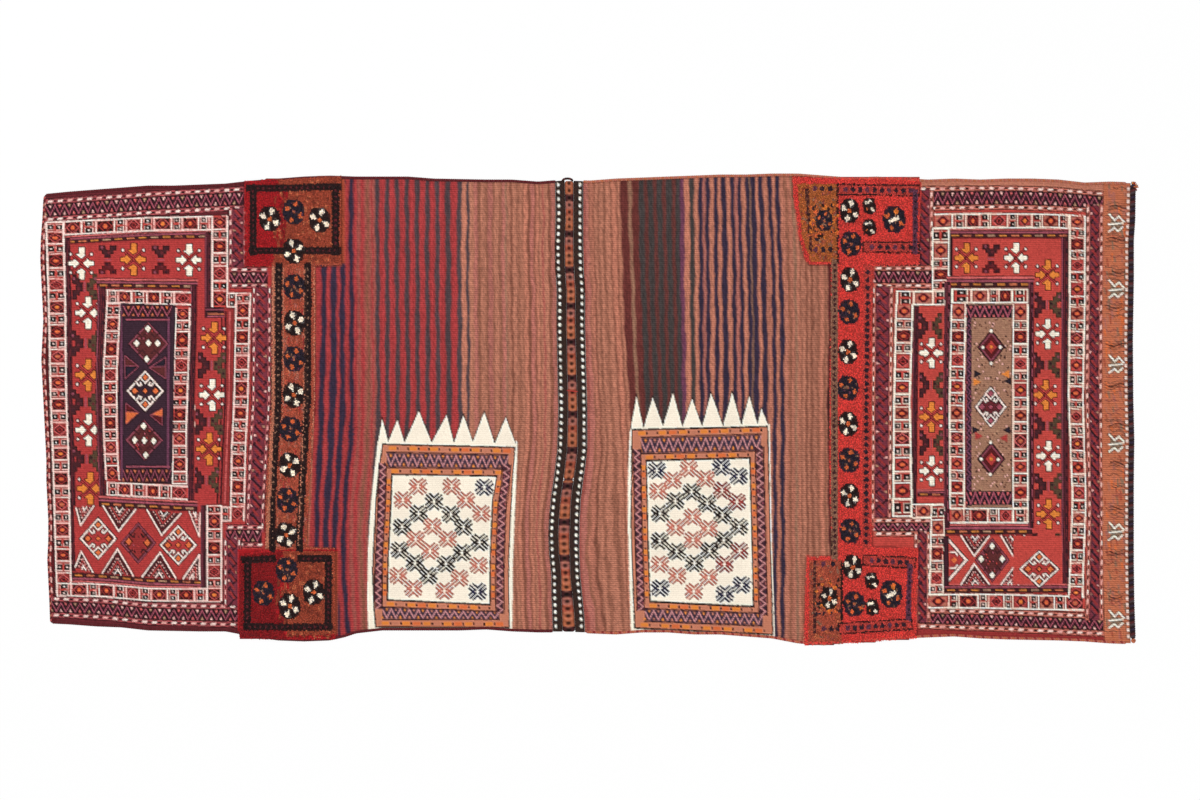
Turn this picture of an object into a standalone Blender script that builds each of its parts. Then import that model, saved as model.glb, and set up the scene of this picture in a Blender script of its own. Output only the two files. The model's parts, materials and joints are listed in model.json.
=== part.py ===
# Double saddle bag of two woven halves, laced together in the middle and laid open and flat.
# Metres, +Z up. The length of the bag runs along X, its width along Y, and its underside lies at Z = 0.
# In this file "along" is the distance from the left end of the straightened cloth, and "up" is the share
# of the way from the lower long side (0) to the upper one (1).

import math

import bmesh
import bpy
import numpy as np
from mathutils import Vector

# Overall lengths
LEFT_LENGTH = 1.234
RIGHT_LENGTH = 1.314
EDGING_WIDTH = 0.0212
BRAID_WIDTH = 0.0236
SEAT_GAP = 0.0003
JOIN_WIDTH = 2 * EDGING_WIDTH + BRAID_WIDTH + 4 * SEAT_GAP
LENGTH = LEFT_LENGTH + JOIN_WIDTH + RIGHT_LENGTH
WIDTH = 1.092

# Thickness of each kind of weave
KILIM = 0.0030
STRIPE_RIB = 0.0006
SOUMAK = 0.0046
BORDER_RELIEF = 0.0012
MOTIF_RELIEF = 0.0009
PILE = 0.0090
FLOWER_RELIEF = 0.0010
PANEL = 0.0040
SINK = 0.0015

# The long sides: distance along the cloth, and how far the finished side stands past half the width
UPPER_SIDE = (
    (0.000, -0.031), (0.130, -0.019), (0.380, -0.007), (0.530, 0.005), (0.640, 0.012),
    (0.900, 0.011), (1.050, 0.003), (1.300, 0.002), (1.620, 0.015), (1.780, 0.019),
    (1.950, 0.010), (2.120, 0.005), (2.380, 0.007), (2.500, -0.001), (2.620, 0.002),
)
LOWER_SIDE = (
    (0.000, -0.036), (0.130, -0.027), (0.380, -0.015), (0.460, -0.012), (0.580, 0.007),
    (0.660, 0.010), (0.760, -0.001), (0.840, -0.016), (1.100, -0.014), (1.500, -0.009),
    (1.720, 0.000), (1.830, 0.017), (1.900, 0.019), (2.060, 0.001), (2.350, 0.004),
    (2.620, 0.017),
)

# How far the cloth has crept along its length, at five places up its width
CREEP_UPS = (0.00, 0.26, 0.52, 0.76, 1.00)
LEFT_END_CREEP = (0.018, 0.013, 0.004, 0.000, 0.006)
LEFT_WEB_CREEP = (-0.014, -0.017, -0.005, 0.000, 0.000)
LEFT_STRIPE_CREEP = (-0.010, -0.014, 0.005, 0.002, 0.000)
JOIN_CREEP = (-0.002, -0.008, 0.008, 0.004, 0.000)
RIGHT_WEB_CREEP = (0.003, 0.002, -0.002, 0.000, 0.000)
RIGHT_END_CREEP = (-0.002, -0.006, -0.007, -0.005, 0.000)
BENDS = 8

# Frames of the face panels, measured in from the long sides
FRAME_INSET = 0.078
FRAME_WIDTH = 0.035
LEFT_END_INSET = 0.013
RIGHT_END_INSET = 0.113
END_BAND = 0.070

# Pile strips: an I with its web across the cloth and a flange at each long side
PILE_EDGE = 0.014
FLANGE_DEPTH = 0.208
LEFT_FLANGE = (0.488, 0.722)
LEFT_WEB = (0.558, 0.660)
RIGHT_FLANGE = (0.508, 0.790)
RIGHT_WEB = (0.622, 0.720)
FRAME_TO_PILE = 0.040
FLOWER_RADIUS = 0.030
FLOWERS_ON_WEB = 10

# Inner frame of each face panel: its two sides from the outer end, and its insets from the long sides
LEFT_INNER = (0.157, 0.361)
LEFT_INNER_UPPER = 0.248
LEFT_INNER_LOWER = 0.320
RIGHT_INNER = (0.247, 0.432)
RIGHT_INNER_UPPER = 0.262
RIGHT_INNER_LOWER = 0.276
MEDALLION_HALF_LENGTH = 0.044
MEDALLION_HALF_WIDTH = 0.050
STAR_RADIUS = 0.034

# White panels near the lower side: how far from the join, and their size
PANEL_WIDTH = 0.318
LEFT_PANEL_FROM_JOIN = 0.098
RIGHT_PANEL_FROM_JOIN = 0.114
PANEL_HEIGHT = 0.447
PANEL_TO_SIDE = 0.006
PANEL_SIDE_FRAME = 0.038
PANEL_UPPER_FRAME = 0.079
PANEL_LOWER_FRAME = 0.068
TEETH = 7
TOOTH_HEIGHT = 0.072
TOOTH_GAP = 0.004

# Stripes of the backs
STRIPE_PITCH = 0.025
STRIPE_CLEAR = 0.030

# Closure slits in the end band
SLITS = 11
SLIT_LENGTH = 0.036
SLIT_OPENING = 0.0024
SLIT_END_GAP = 0.062

# Cords, braid and trimmings
SIDE_CORD = 0.0080
END_CORD = 0.0110
EDGING_THICKNESS = 0.0070
BRAID_THICKNESS = 0.0100
BRAID_PITCH = 0.0170
BRAID_GROOVE_DEPTH = 0.0030
BRAID_PINCH = 0.0016
BRAID_LOWER_LENGTH = 0.366
LOOP_RADIUS = 0.0110
LOOP_CORD = 0.0060
LACING_THREAD = 0.0030
TASSEL_LENGTH = 0.020
TASSEL_RADIUS = 0.0085
KNOT_RADIUS = 0.0070

# Yarns of the two woven halves, in the order of their colour slots
WEAVE_YARNS = (
    "red_wool", "salmon_wool", "navy_wool", "slate_wool", "ivory_cotton", "maroon_wool",
    "orange_wool", "rust_wool",
)


def spline(points, at):
    # Smooth value through the given (place, value) points.
    xs = [p[0] for p in points]
    ys = [p[1] for p in points]
    at = min(max(at, xs[0]), xs[-1])
    k = min(max(int(np.searchsorted(xs, at)) - 1, 0), len(xs) - 2)
    step = xs[k + 1] - xs[k]
    t = (at - xs[k]) / step

    def slope(i):
        a = max(i - 1, 0)
        b = min(i + 1, len(xs) - 1)
        return (ys[b] - ys[a]) / (xs[b] - xs[a]) * step

    a = ys[k] * (2 * t ** 3 - 3 * t ** 2 + 1) + slope(k) * (t ** 3 - 2 * t ** 2 + t)
    return a + ys[k + 1] * (3 * t ** 2 - 2 * t ** 3) + slope(k + 1) * (t ** 3 - t ** 2)


def guides():
    # Lines across the cloth whose creep is known: place along the cloth, and creep at each CREEP_UPS.
    return (
        (0.0, LEFT_END_CREEP),
        (LEFT_WEB[0], LEFT_WEB_CREEP),
        (LEFT_FLANGE[1], LEFT_STRIPE_CREEP),
        (LEFT_LENGTH, JOIN_CREEP),
        (LEFT_LENGTH + JOIN_WIDTH, JOIN_CREEP),
        (LENGTH - RIGHT_WEB[1], RIGHT_WEB_CREEP),
        (LENGTH, RIGHT_END_CREEP),
    )


def bend_ups():
    # The cloth and all that lies along its ends and its join are straight between these bends.
    return [k / BENDS for k in range(BENDS + 1)]


def creep(along, up):
    bends = bend_ups()
    values = []
    for place, row in guides():
        at_bends = [spline(tuple(zip(CREEP_UPS, row)), bend) for bend in bends]
        values.append((place, float(np.interp(up, bends, at_bends))))
    return float(np.interp(along, [v[0] for v in values], [v[1] for v in values]))


def side_reach(side, along):
    # How far the finished side lies from the middle line.
    return WIDTH / 2 + spline(side, along)


def lay(along, up):
    # Where a point of the straightened cloth lies on the ground. Its edge stops where the side cord begins.
    low = SIDE_CORD + SEAT_GAP - side_reach(LOWER_SIDE, along)
    high = side_reach(UPPER_SIDE, along) - SIDE_CORD - SEAT_GAP
    return along + creep(along, up), low + (high - low) * up


def material(name, colour, roughness):
    made = bpy.data.materials.new(name)
    made.use_nodes = True
    shader = made.node_tree.nodes["Principled BSDF"]
    shader.inputs["Base Color"].default_value = (*colour, 1.0)
    shader.inputs["Roughness"].default_value = roughness
    shader.inputs["Metallic"].default_value = 0.0
    made.diffuse_color = (*colour, 1.0)
    return made


def wools():
    # The dyed yarns, in the order in which the weave uses them.
    return {
        "red_wool": material("red_wool", (0.42, 0.035, 0.030), 0.9),
        "salmon_wool": material("salmon_wool", (0.42, 0.125, 0.075), 0.9),
        "navy_wool": material("navy_wool", (0.022, 0.019, 0.050), 0.9),
        "slate_wool": material("slate_wool", (0.065, 0.072, 0.070), 0.9),
        "ivory_cotton": material("ivory_cotton", (0.88, 0.78, 0.64), 0.85),
        "maroon_wool": material("maroon_wool", (0.115, 0.018, 0.018), 0.9),
        "orange_wool": material("orange_wool", (0.62, 0.19, 0.035), 0.9),
        "goat_hair": material("goat_hair", (0.030, 0.018, 0.014), 0.8),
        "rust_wool": material("rust_wool", (0.40, 0.10, 0.045), 0.9),
    }


def add_object(name, bm, materials):
    bmesh.ops.recalc_face_normals(bm, faces=bm.faces)
    mesh = bpy.data.meshes.new(name)
    bm.to_mesh(mesh)
    bm.free()
    for each in materials:
        mesh.materials.append(each)
    made = bpy.data.objects.new(name, mesh)
    bpy.context.scene.collection.objects.link(made)
    return made


def unite_motifs(carrier, motifs):
    # Joins the raised motifs, which stay a hidden guide, to the cloth that carries them.
    motifs.hide_render = True
    motifs.display_type = "WIRE"
    join = carrier.modifiers.new("raised motifs", "BOOLEAN")
    join.operation = "UNION"
    join.solver = "EXACT"
    join.material_mode = "TRANSFER"
    join.object = motifs


def cut_slits(carrier, slits):
    slits.hide_render = True
    slits.display_type = "WIRE"
    cut = carrier.modifiers.new("closure slits", "BOOLEAN")
    cut.operation = "DIFFERENCE"
    cut.solver = "EXACT"
    cut.object = slits


def stepped_sheet(lines_along, lines_up, kind_of, levels):
    # A woven sheet whose cells have the level of their kind of weave, with a wall at each step.
    # kind_of(along, up) names the cell's weave, and levels gives its height and its colour slot.
    bm = bmesh.new()
    made = {}
    cells = {}
    for i in range(len(lines_along) - 1):
        for j in range(len(lines_up) - 1):
            middle = (lines_along[i] + lines_along[i + 1]) / 2, (lines_up[j] + lines_up[j + 1]) / 2
            cells[i, j] = levels[kind_of(*middle)]

    def corner(i, j, z):
        if (i, j, z) not in made:
            made[i, j, z] = bm.verts.new((*lay(lines_along[i], lines_up[j]), z))
        return made[i, j, z]

    def height(i, j):
        return cells[i, j][0] if (i, j) in cells else 0.0

    def levels_at(i, j, low, high):
        around = {height(i - 1, j - 1), height(i, j - 1), height(i - 1, j), height(i, j)}
        return sorted(z for z in around if low < z < high)

    def wall(a, b, first, second, slot):
        low, high = sorted((first, second))
        loop = [corner(*a, low), corner(*b, low)]
        loop += [corner(*b, z) for z in levels_at(*b, low, high)]
        loop += [corner(*b, high), corner(*a, high)]
        loop += [corner(*a, z) for z in reversed(levels_at(*a, low, high))]
        bm.faces.new(loop).material_index = slot

    columns = len(lines_along) - 1
    rows = len(lines_up) - 1
    for (i, j), (z, slot) in cells.items():
        top = [corner(i, j, z), corner(i + 1, j, z), corner(i + 1, j + 1, z), corner(i, j + 1, z)]
        bm.faces.new(top).material_index = slot
    for i in range(columns + 1):
        for j in range(rows):
            if height(i - 1, j) != height(i, j):
                tall = (i, j) if height(i, j) > height(i - 1, j) else (i - 1, j)
                wall((i, j), (i, j + 1), height(i - 1, j), height(i, j), cells[tall][1])
    for i in range(columns):
        for j in range(rows + 1):
            if height(i, j - 1) != height(i, j):
                tall = (i, j) if height(i, j) > height(i, j - 1) else (i, j - 1)
                wall((i, j), (i + 1, j), height(i, j - 1), height(i, j), cells[tall][1])
    lower = [corner(i, 0, 0.0) for i in range(columns + 1)]
    upper = [corner(i, rows, 0.0) for i in range(columns + 1)]
    for j in range(rows):
        low = lower if j == 0 else [corner(0, j, 0.0), corner(columns, j, 0.0)]
        high = upper if j == rows - 1 else [corner(0, j + 1, 0.0), corner(columns, j + 1, 0.0)]
        bm.faces.new(low + high[::-1])
    return bm


def prism(bm, outline, low, high, slot=0):
    # A straight-sided raised shape over an outline of (along, up) points laid out like the cloth.
    points = [lay(along, up) for along, up in outline]
    bottom = [bm.verts.new((x, y, low)) for x, y in points]
    top = [bm.verts.new((x, y, high)) for x, y in points]
    faces = [bm.faces.new(bottom[::-1]), bm.faces.new(top)]
    for k in range(len(points)):
        n = (k + 1) % len(points)
        faces.append(bm.faces.new((bottom[k], bottom[n], top[n], top[k])))
    for face in faces:
        face.material_index = slot


def diamond(along, up, half_along, half_up):
    return [
        (along - half_along, up), (along, up - half_up / WIDTH),
        (along + half_along, up), (along, up + half_up / WIDTH),
    ]


def star(along, up, radius, waist=0.5, arms=4, turn=0.0):
    # An outline with arms around a middle, such as a star or a scalloped flower.
    points = []
    for k in range(2 * arms):
        reach = radius if k % 2 == 0 else radius * waist
        angle = turn + math.pi * k / arms
        points.append((along + reach * math.cos(angle), up + reach * math.sin(angle) / WIDTH))
    return points


def spread(first, last, count):
    return [first + (last - first) * (k + 0.5) / count for k in range(count)]


class Half:
    # Where things lie on one half. Distances are taken from its outer end.

    def __init__(self, mirrored, length, end_inset, flange, web, inner, inner_upper, inner_lower):
        self.mirrored = mirrored
        self.length = length
        self.end_inset = end_inset
        self.flange = flange
        self.web = web
        self.inner = inner
        self.inner_upper = 1 - inner_upper / WIDTH
        self.inner_lower = inner_lower / WIDTH
        panel_from_join = RIGHT_PANEL_FROM_JOIN if mirrored else LEFT_PANEL_FROM_JOIN
        self.panel_inner = length - panel_from_join
        self.panel_outer = self.panel_inner - PANEL_WIDTH

    def along(self, distance):
        return LENGTH - distance if self.mirrored else distance

    def distance(self, along):
        return LENGTH - along if self.mirrored else along

    def in_pile(self, distance, up):
        flange = self.flange[0] < distance < self.flange[1]
        at_side = min(up, 1 - up) < FLANGE_DEPTH / WIDTH
        return (flange and at_side) or self.web[0] < distance < self.web[1]

    def from_pile(self, distance, up):
        # How far a place on the face lies from the pile strip, square to its edges.
        to_flange = max(self.flange[0] - distance, (min(up, 1 - up) * WIDTH - FLANGE_DEPTH), 0.0)
        return min(to_flange, self.web[0] - distance)

    def frame_depth(self, distance, up):
        # Depth inside the outer edge of the frame, which follows the stepped outline of the face.
        from_side = min(up, 1 - up) * WIDTH - FRAME_INSET
        return min(from_side, distance - self.end_inset, self.from_pile(distance, up) - FRAME_TO_PILE)

    def inner_depth(self, distance, up):
        sides = min(distance - self.inner[0], self.inner[1] - distance)
        return min(sides, (self.inner_upper - up) * WIDTH, (up - self.inner_lower) * WIDTH)

    def kind(self, along, up):
        distance = self.distance(along)
        if self.in_pile(distance, up):
            return "pile"
        if self.mirrored and distance < END_BAND:
            return "end_band"
        if distance < self.web[0]:
            if 0 < self.frame_depth(distance, up) < FRAME_WIDTH:
                return "border"
            if 0 < self.inner_depth(distance, up) < FRAME_WIDTH:
                return "border"
            if self.inner_depth(distance, up) > FRAME_WIDTH:
                return "medallion_ground"
            return "soumak" if self.frame_depth(distance, up) > 0 else "outer_border"
        height = up * WIDTH - PANEL_TO_SIDE
        if self.panel_outer < distance < self.panel_inner and 0 < height < PANEL_HEIGHT:
            across = PANEL_SIDE_FRAME < distance - self.panel_outer < PANEL_WIDTH - PANEL_SIDE_FRAME
            if across and PANEL_LOWER_FRAME < height < PANEL_HEIGHT - PANEL_UPPER_FRAME:
                return "panel_field"
            return "panel_frame"
        return self.back_kind(distance)

    def back_kind(self, distance):
        # The stripes of the back: even ones are ribs of darker yarn.
        first = self.flange[1] + STRIPE_CLEAR
        number = math.floor((distance - first) / (STRIPE_PITCH / 2))
        if distance < first or number >= 2 * self.stripes():
            return "back"
        return "stripe" if number % 2 == 0 else "back"

    def stripes(self):
        room = self.panel_outer + PANEL_WIDTH / 2 - self.flange[1] - STRIPE_CLEAR
        return max(int(room / STRIPE_PITCH), 1)

    def lines_along(self):
        lines = [self.end_inset, self.end_inset + FRAME_WIDTH]
        lines += [self.inner[0], self.inner[0] + FRAME_WIDTH]
        lines += [self.inner[1] - FRAME_WIDTH, self.inner[1]]
        for edge in (self.flange[0], self.web[0]):
            lines += [edge - FRAME_TO_PILE - FRAME_WIDTH, edge - FRAME_TO_PILE, edge]
        lines += [self.web[1], self.flange[1]]
        lines += [self.panel_outer, self.panel_outer + PANEL_SIDE_FRAME]
        lines += [self.panel_inner - PANEL_SIDE_FRAME, self.panel_inner]
        first = self.flange[1] + STRIPE_CLEAR
        lines += [first + k * STRIPE_PITCH / 2 for k in range(2 * self.stripes() + 1)]
        if self.mirrored:
            lines.append(END_BAND)
        ends = (self.along(0.0), self.along(self.length))
        return tidy_lines([self.along(d) for d in lines], ends)

    def lines_up(self):
        depths = [0.0, FRAME_INSET, FRAME_INSET + FRAME_WIDTH, FLANGE_DEPTH]
        depths += [FLANGE_DEPTH + FRAME_TO_PILE, FLANGE_DEPTH + FRAME_TO_PILE + FRAME_WIDTH]
        lines = [d / WIDTH for d in depths] + [1 - d / WIDTH for d in depths]
        lines += [self.inner_upper, self.inner_upper - FRAME_WIDTH / WIDTH]
        lines += [self.inner_lower, self.inner_lower + FRAME_WIDTH / WIDTH]
        heights = (0.0, PANEL_LOWER_FRAME, PANEL_HEIGHT - PANEL_UPPER_FRAME, PANEL_HEIGHT)
        lines += [(PANEL_TO_SIDE + h) / WIDTH for h in heights]
        return tidy_lines(lines, bend_ups())


def tidy_lines(lines, fixed, least=0.0016):
    # Sorted grid lines, where one that would leave a sliver beside a fixed line or its neighbour is dropped.
    kept = sorted(set(fixed))
    for line in sorted(lines):
        if all(abs(line - other) > least for other in kept):
            kept.append(line)
    return sorted(kept)


def cloth_levels(half):
    slots = WEAVE_YARNS
    return {
        "pile": (PILE, slots.index("salmon_wool" if not half.mirrored else "red_wool")),
        "end_band": (SOUMAK, slots.index("rust_wool")),
        "border": (SOUMAK + BORDER_RELIEF, slots.index("ivory_cotton")),
        "outer_border": (SOUMAK, slots.index("maroon_wool")),
        "soumak": (SOUMAK, slots.index("red_wool")),
        "medallion_ground": (SOUMAK, slots.index("navy_wool")),
        "panel_field": (KILIM, slots.index("ivory_cotton")),
        "panel_frame": (PANEL, slots.index("orange_wool")),
        "stripe": (KILIM + STRIPE_RIB, slots.index("slate_wool" if not half.mirrored else "navy_wool")),
        "back": (KILIM, slots.index("red_wool" if not half.mirrored else "salmon_wool")),
    }


def add_medallions(bm, half, slots):
    # Three diamonds down the middle panel, each standing on the soumak ground.
    middle = half.along((half.inner[0] + half.inner[1]) / 2)
    low = half.inner_lower + FRAME_WIDTH / WIDTH
    high = half.inner_upper - FRAME_WIDTH / WIDTH
    colours = ("maroon_wool", "ivory_cotton", "maroon_wool")
    for up, colour in zip(spread(low, high, 3), colours):
        room = (high - low) / 6 * WIDTH - SINK
        shape = diamond(middle, up, MEDALLION_HALF_LENGTH, min(MEDALLION_HALF_WIDTH, room))
        prism(bm, shape, SINK, SOUMAK + MOTIF_RELIEF, slots.index(colour))


def add_lower_band(bm, half, slots):
    # Three diamonds between the inner frame and the outer one.
    low = (FRAME_INSET + FRAME_WIDTH) / WIDTH
    up = (low + half.inner_lower) / 2
    first = half.end_inset + FRAME_WIDTH
    last = half.flange[0] - FRAME_TO_PILE - FRAME_WIDTH
    room = (half.inner_lower - low) / 2 * WIDTH - 4 * SINK
    for place, colour in zip(spread(first, last, 3), ("ivory_cotton", "maroon_wool", "ivory_cotton")):
        shape = diamond(half.along(place), up, MEDALLION_HALF_LENGTH, min(MEDALLION_HALF_WIDTH, room))
        prism(bm, shape, SINK, SOUMAK + MOTIF_RELIEF, slots.index(colour))


def add_stars(bm, half, slots):
    # Stars along the upper side of the inner frame and down both of its sides.
    top = 1 - (FRAME_INSET + FRAME_WIDTH) / WIDTH
    first = half.end_inset + FRAME_WIDTH
    last = half.flange[0] - FRAME_TO_PILE - FRAME_WIDTH
    upper = (top + half.inner_upper) / 2
    places = [(place, upper) for place in spread(first, last, 3)]
    outer = (first + half.inner[0]) / 2
    places += [(outer, up) for up in spread(half.inner_lower, half.inner_upper, 4)]
    inner = (half.inner[1] + half.web[0] - FRAME_TO_PILE - FRAME_WIDTH) / 2
    places += [(inner, up) for up in spread(half.inner_lower, half.inner_upper, 3)]
    for k, (place, up) in enumerate(places):
        shape = star(half.along(place), up, STAR_RADIUS)
        colour = "ivory_cotton" if k % 2 == 0 else "orange_wool"
        prism(bm, shape, SINK, SOUMAK + MOTIF_RELIEF, slots.index(colour))


def add_flowers(bm, half, slots):
    # Round flowers in the pile: one row down the web and one more on each arm of the flanges.
    web = (half.web[0] + half.web[1]) / 2
    low = PILE_EDGE * 3 / WIDTH
    places = [(web, up) for up in spread(low, 1 - low, FLOWERS_ON_WEB + 2)]
    radius = min(FLOWER_RADIUS, (1 - 2 * low) * WIDTH / (FLOWERS_ON_WEB + 2) / 2 - SINK)
    arm_low = (FLANGE_DEPTH / 2) / WIDTH
    for arm in ((half.flange[0] + half.web[0]) / 2, (half.flange[1] + half.web[1]) / 2):
        places += [(arm, arm_low), (arm, 1 - arm_low)]
    for k, (place, up) in enumerate(places):
        shape = star(half.along(place), up, radius, waist=0.82, arms=4, turn=math.pi / 8)
        colour = "navy_wool" if k % 2 == 0 else "maroon_wool"
        prism(bm, shape, SINK, PILE + FLOWER_RELIEF, slots.index(colour))


def add_teeth(bm, half, slots):
    # White teeth of dovetailed weave along the upper edge of the white panel.
    slot = slots.index("ivory_cotton")
    pitch = PANEL_WIDTH / TEETH
    foot = (PANEL_TO_SIDE + PANEL_HEIGHT) / WIDTH - SINK / WIDTH
    for k in range(TEETH):
        left = half.panel_outer + k * pitch + TOOTH_GAP / 2
        right = left + pitch - TOOTH_GAP
        tip = ((left + right) / 2, foot + (SINK + TOOTH_HEIGHT) / WIDTH)
        shape = [(half.along(left), foot), (half.along(right), foot), (half.along(tip[0]), tip[1])]
        prism(bm, shape, SINK / 2, PANEL - SINK / 4, slot)


def make_half(name, half, yarns):
    slots = WEAVE_YARNS
    materials = [yarns[each] for each in slots]
    sheet = stepped_sheet(half.lines_along(), half.lines_up(), half.kind, cloth_levels(half))
    carrier = add_object(name, sheet, materials)
    motifs = bmesh.new()
    add_medallions(motifs, half, slots)
    add_lower_band(motifs, half, slots)
    add_stars(motifs, half, slots)
    add_flowers(motifs, half, slots)
    add_teeth(motifs, half, slots)
    unite_motifs(carrier, add_object(name + "_motifs", motifs, materials))
    if half.mirrored:
        cut_slits(carrier, make_slit_cutters(half))
    return carrier


def make_slit_cutters(half):
    # Narrow closure slits through the end band, each a long hexagon.
    bm = bmesh.new()
    middle = half.along(END_BAND / 2)
    ends = SLIT_END_GAP / WIDTH
    for up in spread(ends, 1 - ends, SLITS):
        reach = SLIT_LENGTH / 2
        half_gap = SLIT_OPENING / 2 / WIDTH
        shape = [
            (middle - reach, up), (middle - reach / 2, up - half_gap), (middle + reach / 2, up - half_gap),
            (middle + reach, up), (middle + reach / 2, up + half_gap), (middle - reach / 2, up + half_gap),
        ]
        prism(bm, shape, -SINK, SOUMAK + SINK)
    return add_object("closure_slit_cutters", bm, [])


def side_points(up, lines_along):
    # Middle line of a cord that lies against a long side of the cloth, with a point at each of its lines.
    out = SEAT_GAP + SIDE_CORD / 2 if up > 0.5 else -SEAT_GAP - SIDE_CORD / 2
    points = []
    for along in lines_along:
        x, y = lay(along, up)
        points.append((x, y + out, SIDE_CORD / 2))
    return points


def make_cord(name, points, diameter, yarn):
    # A plain round cord with closed ends along the given points.
    curve = bpy.data.curves.new(name, "CURVE")
    curve.dimensions = "3D"
    curve.bevel_depth = diameter / 2
    curve.bevel_resolution = 2
    curve.use_fill_caps = True
    run = curve.splines.new("POLY")
    run.points.add(len(points) - 1)
    for place, point in zip(run.points, points):
        place.co = (*point, 1.0)
    curve.materials.append(yarn)
    made = bpy.data.objects.new(name, curve)
    bpy.context.scene.collection.objects.link(made)
    return made


def cross_points(along, offset, ups, z=0.0):
    # Middle line of a strip that crosses the cloth at one place along it.
    points = []
    for up in ups:
        x, y = lay(along, up)
        points.append((x + offset, y, z))
    return points


def sweep(name, points, half_section, yarn, swell=None):
    # Lofts a flat section along a run across the cloth. Section points are (across, height) pairs,
    # and swell(k) widens the section at the k-th point.
    bm = bmesh.new()
    rings = []
    for k, (x, y, _) in enumerate(points):
        grow = swell(k) if swell else 1.0
        rings.append([bm.verts.new((x + a * grow, y, h)) for a, h in half_section])
    for first, second in zip(rings, rings[1:]):
        for k in range(len(first)):
            n = (k + 1) % len(first)
            bm.faces.new((first[k], first[n], second[n], second[k]))
    bm.faces.new(rings[0][::-1])
    bm.faces.new(rings[-1])
    return add_object(name, bm, [yarn])


def strip_section(width, thickness):
    # Rounded upper side over a flat underside.
    half = width / 2
    return (
        (-half, 0.0), (half, 0.0), (half, thickness * 0.55), (half * 0.55, thickness),
        (-half * 0.55, thickness), (-half, thickness * 0.55),
    )


def braid_section():
    # Two strands side by side with a groove between them.
    half = BRAID_WIDTH / 2
    t = BRAID_THICKNESS
    return (
        (-half, t * 0.1), (-half * 0.6, 0.0), (half * 0.6, 0.0), (half, t * 0.1), (half, t * 0.6),
        (half * 0.5, t), (0.0, t - BRAID_GROOVE_DEPTH), (-half * 0.5, t), (-half, t * 0.6),
    )


def make_join(yarns):
    left = LEFT_LENGTH + SEAT_GAP + EDGING_WIDTH / 2
    middle = LEFT_LENGTH + JOIN_WIDTH / 2
    right = LEFT_LENGTH + JOIN_WIDTH - SEAT_GAP - EDGING_WIDTH / 2
    section = strip_section(EDGING_WIDTH, EDGING_THICKNESS)
    for name, along in (("centre_edging_left", left), ("centre_edging_right", right)):
        sweep(name, cross_points(along, 0.0, bend_ups()), section, yarns["goat_hair"])
    lengths = (
        ("centre_braid_lower", 0.0, BRAID_LOWER_LENGTH / WIDTH),
        ("centre_braid_upper", (BRAID_LOWER_LENGTH + SEAT_GAP) / WIDTH, 1.0),
    )
    for name, low, high in lengths:
        steps = 2 * max(int((high - low) * WIDTH / BRAID_PITCH), 2)
        run = cross_points(middle, 0.0, [low + (high - low) * k / steps for k in range(steps + 1)])
        swell = lambda k: 1 - BRAID_PINCH / BRAID_WIDTH * (k % 2)
        sweep(name, run, braid_section(), yarns["salmon_wool"], swell)


def make_lacing(yarns):
    # A dark thread that lies in the groove between the two strands of the braid.
    groove_run = (BRAID_WIDTH - BRAID_PINCH) / 4
    wedge = math.hypot(BRAID_GROOVE_DEPTH, groove_run) / groove_run
    z = BRAID_THICKNESS - BRAID_GROOVE_DEPTH + (LACING_THREAD / 2 + SEAT_GAP) * wedge
    points = cross_points(LEFT_LENGTH + JOIN_WIDTH / 2, 0.0, bend_ups(), z)
    return make_cord("centre_lacing", points, LACING_THREAD, yarns["goat_hair"])


def make_top_loop(yarns):
    # A little arch of dark cord that stands out of the upper end of the right edging.
    along = LEFT_LENGTH + JOIN_WIDTH - SEAT_GAP - EDGING_WIDTH / 2
    x, y = lay(along, 1.0)
    y += LOOP_CORD / 2 + SEAT_GAP
    reach = LOOP_RADIUS - LOOP_CORD / 2
    points = []
    for k in range(9):
        angle = math.pi * k / 8
        points.append((x - reach * math.cos(angle), y + reach * 0.45 * math.sin(angle), LOOP_CORD / 2))
    return make_cord("centre_top_loop", points, LOOP_CORD, yarns["goat_hair"])


def make_side_cords(left, right, yarns):
    for end, half in (("left", left), ("right", right)):
        for name, up in (("upper_side_cord_", 1.0), ("lower_side_cord_", 0.0)):
            points = side_points(up, half.lines_along())
            make_cord(name + end, points, SIDE_CORD, yarns["maroon_wool"])


def make_end_cord(yarns):
    offset = SEAT_GAP + END_CORD / 2
    points = cross_points(LENGTH, offset, bend_ups(), END_CORD / 2)
    return make_cord("right_end_cord", points, END_CORD, yarns["goat_hair"])


def make_left_binding(yarns):
    # Overcast warp ends along the left end.
    offset = -SEAT_GAP - SIDE_CORD / 2
    points = cross_points(0.0, offset, bend_ups(), SIDE_CORD / 2)
    return make_cord("left_end_binding", points, SIDE_CORD, yarns["maroon_wool"])


def turned(name, profile, centre, yarn, sides=12):
    # A small turned body about an axis along Y, from (distance along the axis, radius) points.
    bm = bmesh.new()
    x, y, z = centre
    rings = []
    for step, radius in profile:
        ring = []
        for k in range(sides):
            angle = 2 * math.pi * k / sides
            ring.append(bm.verts.new((x + radius * math.cos(angle), y + step, z + radius * math.sin(angle))))
        rings.append(ring)
    for first, second in zip(rings, rings[1:]):
        for k in range(sides):
            n = (k + 1) % sides
            bm.faces.new((first[k], first[n], second[n], second[k]))
    bm.faces.new(rings[0][::-1])
    bm.faces.new(rings[-1])
    return add_object(name, bm, [yarn])


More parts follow.
